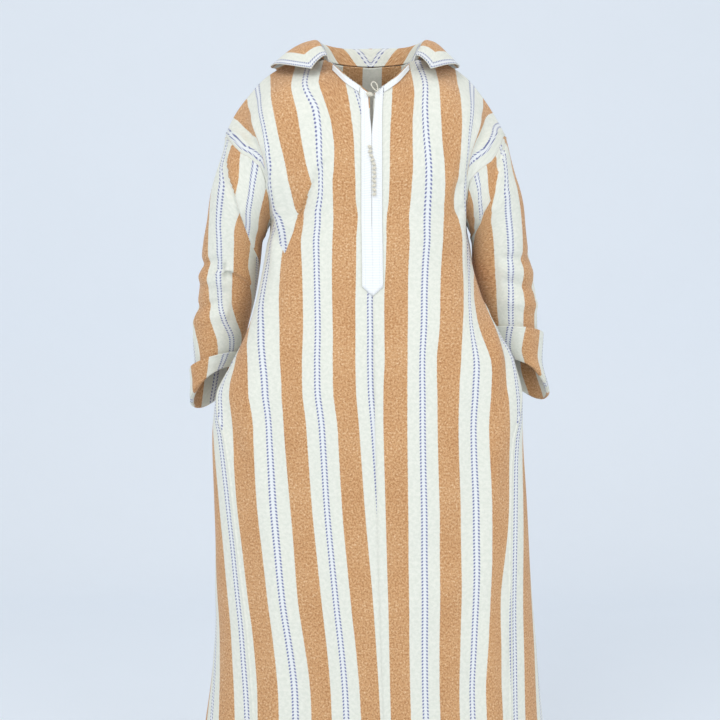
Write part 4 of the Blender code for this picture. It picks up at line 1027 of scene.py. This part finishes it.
def front_t(side, v, s, arc, P_row):
    keys = [r[0] for r in STRIPES[side]]
    edges = [hermite(keys, [r[c] for r in STRIPES[side]], v) for c in range(1, 7)]
    t = t_between(arc, s, edges, EDGE_T)
    scale = arc[-1] / max(s[-1], 1e-6)
    over, over_d = t, np.full(len(s), -0.05)
    if side == RIGHT and TUCK_ENDS[0] - 0.02 < v < TUCK_ENDS[1] + 0.04:
        keys = [r[0] for r in TUCK]
        line = hermite(keys, [r[1] for r in TUCK], v)
        at = [hermite(keys, [r[c] for r in TUCK], v) for c in range(2, 6)]
        over = t_between(arc, s, edges[:2] + at, EDGE_T)
        far = hermite(keys, [r[6] for r in TUCK], v)
        over_d = np.minimum(np.minimum(s - line, far - s) * scale, min(v - 0.941, 1.415 - v) * 0.35)
    ridge, ridge_d = t, np.full(len(s), -0.05)
    if v > RIDGE_PLACE[side][0][0] - 0.03:
        keys, vals = zip(*RIDGE_PLACE[side])
        place = hermite(keys, vals, v)
        ridge = SEAM_T[side] - near_line(P_row, A_SEAM[side])[0]
        ridge_d = (s - place) * scale
    return t, over, over_d, ridge, ridge_d


def make_front(side):
    name = "front_right" if side == RIGHT else "front_left"
    P = np.zeros((len(ROWS), len(COLS), 3))
    S = np.zeros((len(ROWS), len(COLS)))
    for i, v in enumerate(ROWS):
        limit = edge_s(side, v) if v < 1.0 else 1.0
        S[i] = COLS * limit
        for j, s in enumerate(S[i]):
            P[i, j] = panel_point(side, -1, float(s), float(v))
    A = arcs(P)
    maps = np.array([front_t(side, v, S[i], A[i], P[i]) for i, v in enumerate(ROWS)])
    T = maps[:, 0]
    L = np.repeat(along_col(P)[:, 10:11], len(COLS), axis=1)
    rough = np.broadcast_to(np.array([0.25 * side, -1.0, 0.3]), P.shape)
    N = grid_normals(P, rough)
    centre = np.abs(P[:, :, 0] - P[:, :1, 0])
    under = np.clip((centre - 0.020) / 0.012, 0, 1)
    plain = np.where(P[:, :, 2] > PLACKET_TIP_Z - 0.01, under, np.clip(centre / 0.02, 0.15, 1))
    ends = np.clip(P[:, :, 2] * 0 + (1.945 - ROWS[:, None]) / 0.07, 0, 1)
    keep = plain * ends * np.clip((A[:, -1:] - A) / 0.012, 0.0, 1)
    P = P + N * (waves(P, 3 + side, 0.16, 0.0022) * keep)[..., None]
    P = pressed(P, N, CREASES[name], lambda a, b: panel_point(side, -1, a, b), keep)
    low = P[:, :, 2] < PLACKET_TIP_Z
    P = P + N * (np.where(low, roll(A, 0.0016, 0.0011, 0.0007), 0.0))[..., None]
    P = P + N * (roll(A[:, -1:] - A, 0.0016, 0.0012, 0.0008) * np.clip((1.3 - ROWS[:, None]) / 0.15, 0, 1))[..., None]
    gap = np.array([SEAM_GAP * 0.5 + slit_half(z) for z in P[:, 0, 2]])
    shift = gap[:, None] * np.exp(-A / 0.006)
    P[:, :, 0] += side * shift
    N = grid_normals(P, rough)
    obj = shell(name + "_cloth", P, N, T, L, 0.0018, False, cloth_mat, name,
                over=(maps[:, 1], maps[:, 2]), ridge=(maps[:, 3], maps[:, 4]))
    return obj


def make_back():
    name = "back"
    cols = spread(int(110 * max(FINE, 0.7)))
    P = np.zeros((len(ROWS), len(cols), 3))
    T = np.zeros(P.shape[:2])
    half = {}
    for side in (RIGHT, LEFT):
        use = (cols <= 0.5) if side == RIGHT else (cols > 0.5)
        q = np.abs(cols - 0.5) * 2
        for i, v in enumerate(ROWS):
            limit = back_edge_s(side, v) if v < 1.0 else 1.0
            for j in np.nonzero(use)[0]:
                P[i, j] = panel_point(side, 1, float(q[j] * limit), float(v))
    A = arcs(P)
    mid = int(np.argmin(np.abs(cols - 0.5)))
    T = np.abs(A - A[:, mid:mid + 1]) - 0.0255 + 0.006 * np.minimum(ROWS[:, None], 1.0)
    L = np.repeat(along_col(P)[:, mid:mid + 1], len(cols), axis=1)
    rough = np.broadcast_to(np.array([0.0, 1.0, 0.3]), P.shape)
    N = grid_normals(P, rough)
    edge = np.minimum(A, A[:, -1:] - A)
    keep = np.clip(edge / 0.012, 0, 1) * np.clip((2.0 - ROWS[:, None]) / 0.05, 0, 1)
    P = P + N * (waves(P, 11, 0.17, 0.0024) * keep)[..., None]
    P = pressed(P, N, CREASES["back_right"], lambda a, b: panel_point(RIGHT, 1, a, b), keep)
    P = pressed(P, N, CREASES["back_left"], lambda a, b: panel_point(LEFT, 1, a, b), keep)
    P = P + N * roll(edge, 0.0016, 0.0012, 0.0008)[..., None]
    N = grid_normals(P, rough)
    return shell("back_cloth", P, N, T, L, 0.0018, False, cloth_mat, name)


def make_gore(side):
    name = "gore_right" if side == RIGHT else "gore_left"
    vs = np.concatenate([[0.0, 0.0012, 0.003, 0.006], np.linspace(0.010, GORE_TOP_V - 0.004, int(170 * FINE)), [GORE_TOP_V]])
    us = spread(34)
    P = np.zeros((len(vs), len(us), 3))
    for i, v in enumerate(vs):
        z = HEM_Z + (UNDERARM_Z - HEM_Z) * float(v)
        q0 = read(SIDE, SIDE_COLUMNS, "z", z, "edge_right" if side == RIGHT else "edge_left")
        q1 = read(SIDE, SIDE_COLUMNS, "z", z, "gore_back")
        round_m = (body_point(side, q0 + 0.01, z) - body_point(side, q0, z)).length / 0.01
        q0 += read(SIDE, SIDE_COLUMNS, "z", z, "slit_gap") / round_m
        for j, u in enumerate(us):
            P[i, j] = body_point(side, q0 + (q1 - q0) * float(u), z)
    A = arcs(P)
    T = A - 0.037
    L = np.repeat(along_col(P)[:, 3:4], len(us), axis=1)
    rough = np.broadcast_to(np.array([1.0 * side, 0.0, 0.0]), P.shape)
    N = grid_normals(P, rough)
    edge = np.minimum(A, A[:, -1:] - A)
    keep = np.clip(edge / 0.012, 0, 1)
    P = P + N * (waves(P, 21 + side, 0.15, 0.0022) * keep)[..., None]
    P = P + N * roll(edge, 0.0016, 0.0010, 0.0007)[..., None]
    N = grid_normals(P, rough)
    return shell(name + "_cloth", P, N, T, L, 0.0018, False, cloth_mat, name)


# -------------------------------------------------------------------- sleeves
def sleeve_t(side, w, phis, arc):
    """Stripes of one ring, from the sleeve's seam round over the outside and back to it."""
    table = SLEEVE_EDGES[side]
    keys = [r[0] for r in table]
    places = [hermite(keys, [r[c] for r in table], w) for c in range(1, 6)]
    t = t_between(arc, phis, places, SLEEVE_T[side])
    table = OVER[side]
    keys = [r[0] for r in table]
    over, over_d = t, np.full(len(phis), -0.05)
    if w < keys[-1] + 0.03:
        line = hermite(keys, [r[1] for r in table], w)
        places = [hermite(keys, [r[c] for r in table], w) for c in range(2, 6)]
        over = t_between(arc, phis, places, OVER_T[side])
        over_d = np.minimum((phis - line) * arc[-1] / 360, (keys[-1] + 0.005 - w) * 0.4)
    return t, over, over_d


def make_sleeve(side):
    name = "sleeve_right" if side == RIGHT else "sleeve_left"
    cols = int(104 * max(FINE, 0.7))
    phis = SLEEVE_SEAM - 360 + np.arange(cols) * 360.0 / cols
    ws = np.concatenate([np.linspace(0.0, 0.064, 21), np.linspace(0.070, 0.985, int(142 * FINE)), [0.992, 1.0]])
    P = np.array([[tuple(sleeve_point(side, float(p), float(w))) for p in phis] for w in ws])
    centre = np.array([tuple(ring_frame(side, max(float(w), SLEEVE[side][0][0]))[0]) for w in ws])
    rough = P - centre[:, None, :]
    wrapped = np.concatenate([P[:, -2:], P, P[:, :2]], axis=1)
    wr = np.concatenate([rough[:, -2:], rough, rough[:, :2]], axis=1)
    N = grid_normals(wrapped, wr)[:, 2:-2]
    closed_rows = np.concatenate([P, P[:, :1]], axis=1)
    A = arcs(closed_rows)[:, :-1]
    maps = np.array([sleeve_t(side, float(w), phis, A[i]) for i, w in enumerate(ws)])
    T = maps[:, 0]
    L = np.repeat(along_col(P)[:, cols // 2:cols // 2 + 1], cols, axis=1)
    keep = np.clip(ws / 0.05, 0, 1)[:, None] * np.clip((1.0 - ws) / 0.10, 0.0, 1)[:, None] * np.ones((1, cols))
    body = np.cos(np.radians(phis + 180))[None, :]
    keep = keep * np.where(body > 0.3, 0.55, 1.0)
    wob = waves(P, 31 + side, 0.11, 0.0024)
    P2 = P + N * (wob * keep)[..., None]
    P2 = pressed(P2, N, CREASES[name], lambda a, b: sleeve_point(side, a, b), keep)
    dist0 = along_col(P)
    turned = (phis + 180) % 360 - 180
    seam_w = np.array([hermite([k[0] for k in SEAM_LINE[side]], [k[1] for k in SEAM_LINE[side]], float(p)) for p in turned])
    metres = dist0[-1:] / ws[-1]
    past = (ws[:, None] - seam_w[None, :]) * metres
    P2 = P2 + N * (0.0012 * np.exp(-((past - 0.0022) / 0.0018) ** 2) - 0.0013 * np.exp(-(past / 0.0013) ** 2))[..., None]
    shoulder_t = SEAM_T[side] - near_line(P.reshape(-1, 3), A_SEAM[side])[0].reshape(P.shape[:2])
    shoulder_d = -past
    # the wrist turns outward and the cuff lies back over the sleeve
    length = (ring_frame(side, 1.0)[0] - ring_frame(side, 0.87)[0]).length / 0.13
    end = P2[-1]
    along = end - P2[-6]
    along /= np.linalg.norm(along, axis=1, keepdims=True)
    out = N[-3]
    rows, norms, lens = [P2], [N], [L]
    extra, extra_n = [], []
    for turn in (25, 50, 75, 100, 125, 150, 180):
        a = math.radians(turn)
        extra.append(end + along * (CUFF_GAP / 2) * math.sin(a) + out * (CUFF_GAP / 2) * (1 - math.cos(a)))
        extra_n.append(out * math.cos(a) + along * math.sin(a))
    last = extra[-1]
    shares = np.linspace(0.04, 1.0, int(34 * max(FINE, 0.6)))
    rng = np.random.default_rng(41 + side)
    lobes = sum(np.sin(np.radians(phis) * k + rng.uniform(0, 6)) * rng.uniform(0.4, 1.0) for k in (2, 3, 5)) * 0.0016
    for share in shares:
        up = share * CUFF_SHOWN[side]
        w = 1.0 - up / length
        base = np.array([[float(np.interp(w, ws, P2[:, j, c])) for c in range(3)] for j in range(cols)])
        n = np.array([[float(np.interp(w, ws, N[:, j, c])) for c in range(3)] for j in range(cols)])
        n /= np.linalg.norm(n, axis=1, keepdims=True)
        flat = 1.0 - 0.8 * np.maximum(0.0, -np.cos(np.radians(phis)))
        rise = CUFF_GAP + (CUFF_FLARE + lobes) * share * flat
        rise = rise + 0.0010 * flat * np.sin(share * 7 + np.radians(phis) * 2) * share * (1 - share) * 3
        hemmed = 0.0007 * math.exp(-((share - 0.97) / 0.03) ** 2)
        extra.append(base + n * (rise + hemmed)[:, None])
        extra_n.append(-n)
    full = np.concatenate([P2, np.array(extra)], axis=0)
    Nf = grid_normals(np.concatenate([full[:, -2:], full, full[:, :2]], axis=1),
                      np.concatenate([np.concatenate([N, np.array(extra_n)])[:, -2:], np.concatenate([N, np.array(extra_n)]),
                                      np.concatenate([N, np.array(extra_n)])[:, :2]], axis=1))[:, 2:-2]
    Nf[len(P2) - 1:len(P2) + 7] = np.concatenate([N[-1:], np.array(extra_n[:7])])
    Lf = np.repeat(along_col(full)[:, cols // 2:cols // 2 + 1], cols, axis=1)
    t_end = T[-1]
    lean = np.concatenate([np.full(7, CUFF_LEAN[side]), CUFF_LEAN[side] * (1 - shares)])[:, None]
    Tf = np.concatenate([T, (t_end + CUFF_SHIFT[side])[None, :] + lean], axis=0)
    over_t = np.concatenate([maps[:, 1], np.repeat(maps[-1:, 1], len(extra), axis=0)])
    over_d = np.concatenate([maps[:, 2], np.full((len(extra), cols), -0.05)])
    ridge_t = np.concatenate([shoulder_t, np.repeat(shoulder_t[-1:], len(extra), axis=0)])
    ridge_d = np.concatenate([shoulder_d, np.full((len(extra), cols), -0.05)])
    return shell(name + "_cloth", full, Nf, Tf, Lf, 0.0018, True, cloth_mat, name,
                 over=(over_t, over_d), ridge=(ridge_t, ridge_d))


CUFF_SHIFT = {RIGHT: 0.019, LEFT: 0.0}
CUFF_LEAN = {RIGHT: 0.0, LEFT: 0.026}
CUFF_SHOWN = {RIGHT: 0.043, LEFT: 0.090}


# ----------------------------------------------------------------------- hood
def make_hood():
    psis = np.linspace(0.0, 1.0, int(140 * max(FINE, 0.7)))
    rs = np.linspace(0.0, 1.0, int(96 * max(FINE, 0.7)))
    P = np.array([[tuple(hood_point(float(p), float(r))) for p in psis] for r in rs])
    A = arcs(P)
    col = along_col(P)
    mid = len(psis) // 2
    # stripes run along the opening edge and on round its outer corner
    ends = np.minimum(psis, 1 - psis)[None, :]
    outer = col[-1:] - col + 2.0 * np.clip(ends - 0.18, 0, 1)
    T = 0.0705 - np.minimum(np.minimum(A, A[:, -1:] - A), outer)
    L = col + 0.3 * ends
    du, dv = np.gradient(P, axis=1), np.gradient(P, axis=0)
    N = np.cross(du, dv)
    N /= np.maximum(np.linalg.norm(N, axis=2, keepdims=True), 1e-12)
    for step in range(3):  # even out the normals where profiles meet
        N[1:-1] = (N[:-2] + N[1:-1] * 2 + N[2:]) / 4
        N[:, 1:-1] = (N[:, :-2] + N[:, 1:-1] * 2 + N[:, 2:]) / 4
        N /= np.maximum(np.linalg.norm(N, axis=2, keepdims=True), 1e-12)
    edge = np.minimum(col, col[-1:] - col)
    keep = np.clip(edge / 0.02, 0, 1) * np.clip(np.minimum(psis, 1 - psis) / 0.06, 0, 1)[None, :]
    P = P + N * (waves(P, 51, 0.09, 0.0016) * keep)[..., None]
    ref = np.array([[0.0, 0.0, 0.0]])
    return shell("hood_cloth", P, N, T, L, 0.0018, False, hood_mat, "hood")


# ------------------------------------------------------------ braid and knots
def chest_spot(side, off, v):
    """A point of the front at a distance off the centre line, and its normal."""
    s = off / 0.36
    centre = panel_point(side, -1, 0.0, v)
    for _ in range(3):
        p = panel_point(side, -1, s, v)
        s = max(0.0, s + (off - abs(p.x - centre.x)) / 0.36)
    n = outward(side, -1, max(s, 0.004), v)
    n = Vector((0 if off < 0.002 else n.x, n.y, n.z)).normalized()
    return panel_point(side, -1, s, v), n


def make_placket(side):
    name = "placket_right" if side == RIGHT else "placket_left"
    tip, shoulder, top = chest_v(PLACKET_TIP_Z), chest_v(PLACKET_TIP_Z + PLACKET_POINT), 1.985
    shares = np.concatenate([np.linspace(0, 0.72, 8), np.linspace(0.78, 1.0, 8)])
    rows = np.linspace(0, 1, int(170 * FINE))
    P = np.zeros((len(rows), len(shares), 3))
    N, T, L = np.zeros_like(P), np.zeros(P.shape[:2]), np.zeros(P.shape[:2])
    for i, r in enumerate(rows):
        for m, share in enumerate(shares):
            low = tip + (shoulder - tip) * share
            v = float(low + (top - low) * r)
            z = panel_point(side, -1, 0.0, v).z
            inner = SEAM_GAP * 0.6 + slit_half(z)
            off = float(inner + (PLACKET_HALF - inner + 0.002 * smooth(-0.14, -0.09, z)) * share)
            p, n = chest_spot(side, off, v)
            cord = math.exp(-((off - 0.0165) / 0.0012) ** 2) + math.exp(-((r - 0.010) / 0.006) ** 2) * 0.8
            p = p + n * (LAID_ON + PLACKET_THICK + 0.0010 * min(cord, 1.0) + 0.0008 * smooth(-0.115, -0.090, z))
            P[i, m], N[i, m] = tuple(p), tuple(n)
            T[i, m], L[i, m] = off, z
    return shell(name + "_braid", P, N, T, L, PLACKET_THICK, False, placket_mat, name)


def make_trim(side):
    name = "neck_trim_right" if side == RIGHT else "neck_trim_left"
    ss = np.linspace(0.086, 0.264, 70)
    vs = np.linspace(1.945, 1.992, 10)
    P = np.array([[tuple(panel_point(side, -1, float(s), float(v))) for s in ss] for v in vs])
    N = grid_normals(P, np.broadcast_to(np.array([0.0, -1.0, 0.6]), P.shape))
    rib = np.exp(-((vs - 1.975) / 0.010) ** 2)[:, None]
    P = P + N * (LAID_ON + 0.0014 + 0.0012 * rib)[..., None]
    A = arcs(P)
    return shell(name + "_braid", P, N, along_col(P), A, 0.0014, False, trim_mat, name)


def knot(name, node, centre, radius, squash, turn):
    """A small knot of wound cord: bands of cord over a ball."""
    rings, cols = 26, 34
    points, faces = [], []
    for i in range(rings + 1):
        a = math.pi * i / rings
        for j in range(cols):
            b = 2 * math.pi * j / cols
            d = Vector((math.sin(a) * math.cos(b), math.sin(a) * math.sin(b), math.cos(a)))
            wind = math.sin(5 * (a + 0.5 * math.sin(b))) * 0.07 + math.sin(3 * b + 4 * a) * 0.05
            points.append(Vector([d[k] * radius * squash[k] * (1 + wind) for k in range(3)]))
    for i in range(rings):
        for j in range(cols):
            k = (j + 1) % cols
            faces.append((i * cols + j, (i + 1) * cols + j, (i + 1) * cols + k, i * cols + k))
    mesh = bpy.data.meshes.new(name)
    mesh.from_pydata(points, [], faces)
    mesh.polygons.foreach_set("use_smooth", [True] * len(faces))
    mesh.materials.append(silk_mat)
    obj = bpy.data.objects.new(name, mesh)
    obj.location, obj.rotation_euler = centre, (0, turn, 0)
    bpy.context.scene.collection.objects.link(obj)
    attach(obj, "root")
    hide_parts(node)
    return obj


def make_knots():
    stand = LAID_ON * 2 + PLACKET_THICK + BUTTON_R * 0.7
    for k in range(BUTTONS):
        z = BUTTON_TOP_Z - BUTTON_STEP * k
        x = -0.0035 + 0.0075 * smooth(0, 5, k)
        p, n = chest_spot(LEFT if x > 0 else RIGHT, max(abs(x), 0.001), chest_v(z))
        knot(f"knot_{k + 1:02d}", f"button_{k + 1:02d}", p + n * stand, BUTTON_R * 0.95, (1.25, 0.85, 0.85), 0.45 * (-1) ** k)
    mid, n = chest_spot(RIGHT, 0.0060, chest_v(-0.0985))
    stand = LAID_ON * 2 + PLACKET_THICK
    knot("knot_top", "button_top", Vector((-0.0015, mid.y, mid.z)) + n * (stand + 0.0042), 0.0042, (1.5, 0.9, 0.9), 0.2)


def make_loop():
    """The free loop of cord that the top knot goes through."""
    base = Vector((0.0095, -0.1225, -0.0865))
    lean = math.radians(28)
    points, faces = [], []
    around, count, radius = 10, 72, 0.0011
    line = []
    for k in range(count):
        a = 2 * math.pi * k / count
        along, sideways = 0.0085 * (1 - math.cos(a)), 0.0042 * math.sin(a) * (1 - 0.35 * math.cos(a))
        line.append(Vector((base.x - along * math.sin(lean) + sideways * math.cos(lean), base.y,
                            base.z + along * math.cos(lean) + sideways * math.sin(lean))))
    for k in range(count):
        d = (line[(k + 1) % count] - line[k - 1]).normalized()
        side = Vector((0, 1, 0))
        up = d.cross(side).normalized()
        for j in range(around):
            b = 2 * math.pi * j / around
            r = radius * (1 + 0.16 * math.sin(2 * b + k * 2 * math.pi * 6 / count))
            points.append(line[k] + (side * math.cos(b) + up * math.sin(b)) * r)
    for k in range(count):
        for j in range(around):
            m = (j + 1) % around
            n = (k + 1) % count
            faces.append((k * around + j, k * around + m, n * around + m, n * around + j))
    mesh = bpy.data.meshes.new("loop_cord")
    mesh.from_pydata(points, [], faces)
    mesh.polygons.foreach_set("use_smooth", [True] * len(faces))
    mesh.materials.append(silk_mat)
    obj = bpy.data.objects.new("loop_cord", mesh)
    bpy.context.scene.collection.objects.link(obj)
    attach(obj, "root")
    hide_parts("cord_loop")
    return obj


for which in (RIGHT, LEFT):
    make_front(which)
    make_gore(which)
    make_sleeve(which)
    make_placket(which)
    make_trim(which)
make_back()
make_hood()
make_knots()
make_loop()


# -------------------------------------------------------- stage, light, camera
def plain(name, colour, rough=0.9):
    n = Nodes(name)
    c = n.tree.nodes.new("ShaderNodeTexCoord")
    soft = n.noise(c.outputs["Object"], 3.0, 2.0)
    n.finish(n.mix(soft, colour, tuple(min(1.0, x * 1.02) for x in colour[:3]) + (1.0,)), rough, 0.0)
    return n.mat


# a pale floor that curves up into a pale wall
FLOOR_Z = -1.50
WALL_Y, CURVE = 3.4, 1.1
profile = [(-6.0, FLOOR_Z)]
for k in range(33):
    a = math.pi / 2 * k / 32
    profile.append((WALL_Y - CURVE + CURVE * math.sin(a), FLOOR_Z + CURVE * (1 - math.cos(a))))
profile.append((WALL_Y, 4.5))
cove = bpy.data.meshes.new("pale_cove")
cove.from_pydata([(x, y, z) for y, z in profile for x in (-7.0, 7.0)], [],
                 [(2 * k, 2 * k + 1, 2 * k + 3, 2 * k + 2) for k in range(len(profile) - 1)])
cove.polygons.foreach_set("use_smooth", [True] * len(cove.polygons))
cove.materials.append(plain("pale_stage", rgb(*STAGE_TONE)))
cove_obj = bpy.data.objects.new("pale_cove", cove)
bpy.context.scene.collection.objects.link(cove_obj)

world = bpy.data.worlds.new("soft_light")
world.use_nodes = True
world.node_tree.nodes["Background"].inputs[0].default_value = (0.93, 0.965, 1.0, 1.0)
world.node_tree.nodes["Background"].inputs[1].default_value = WORLD_LIGHT
bpy.context.scene.world = world


def lamp(name, place, aim, size, power, colour=(1, 1, 1)):
    data = bpy.data.lights.new(name, "AREA")
    data.shape, data.size, data.size_y = "RECTANGLE", size[0], size[1]
    data.energy, data.color = power, colour
    obj = bpy.data.objects.new(name, data)
    obj.location = place
    obj.rotation_euler = (Vector(aim) - Vector(place)).to_track_quat("-Z", "Y").to_euler()
    obj.visible_camera = False
    bpy.context.scene.collection.objects.link(obj)


lamp("key", (-1.1, -2.6, 1.3), (0, 0, -0.5), (1.6, 1.6), KEY_LIGHT)
lamp("fill", (1.6, -2.4, 0.2), (0, 0, -0.6), (1.6, 2.0), KEY_LIGHT * 0.45)

cam = bpy.data.cameras.new("camera")
cam.sensor_width = 36.0
cam.lens = 55.23
camera = bpy.data.objects.new("camera", cam)
camera.location = (-0.0202, -2.03, -0.5513)
camera.rotation_euler = (math.radians(90), 0, 0)
bpy.context.scene.collection.objects.link(camera)
bpy.context.scene.camera = camera
bpy.context.scene.view_settings.view_transform = "Standard"
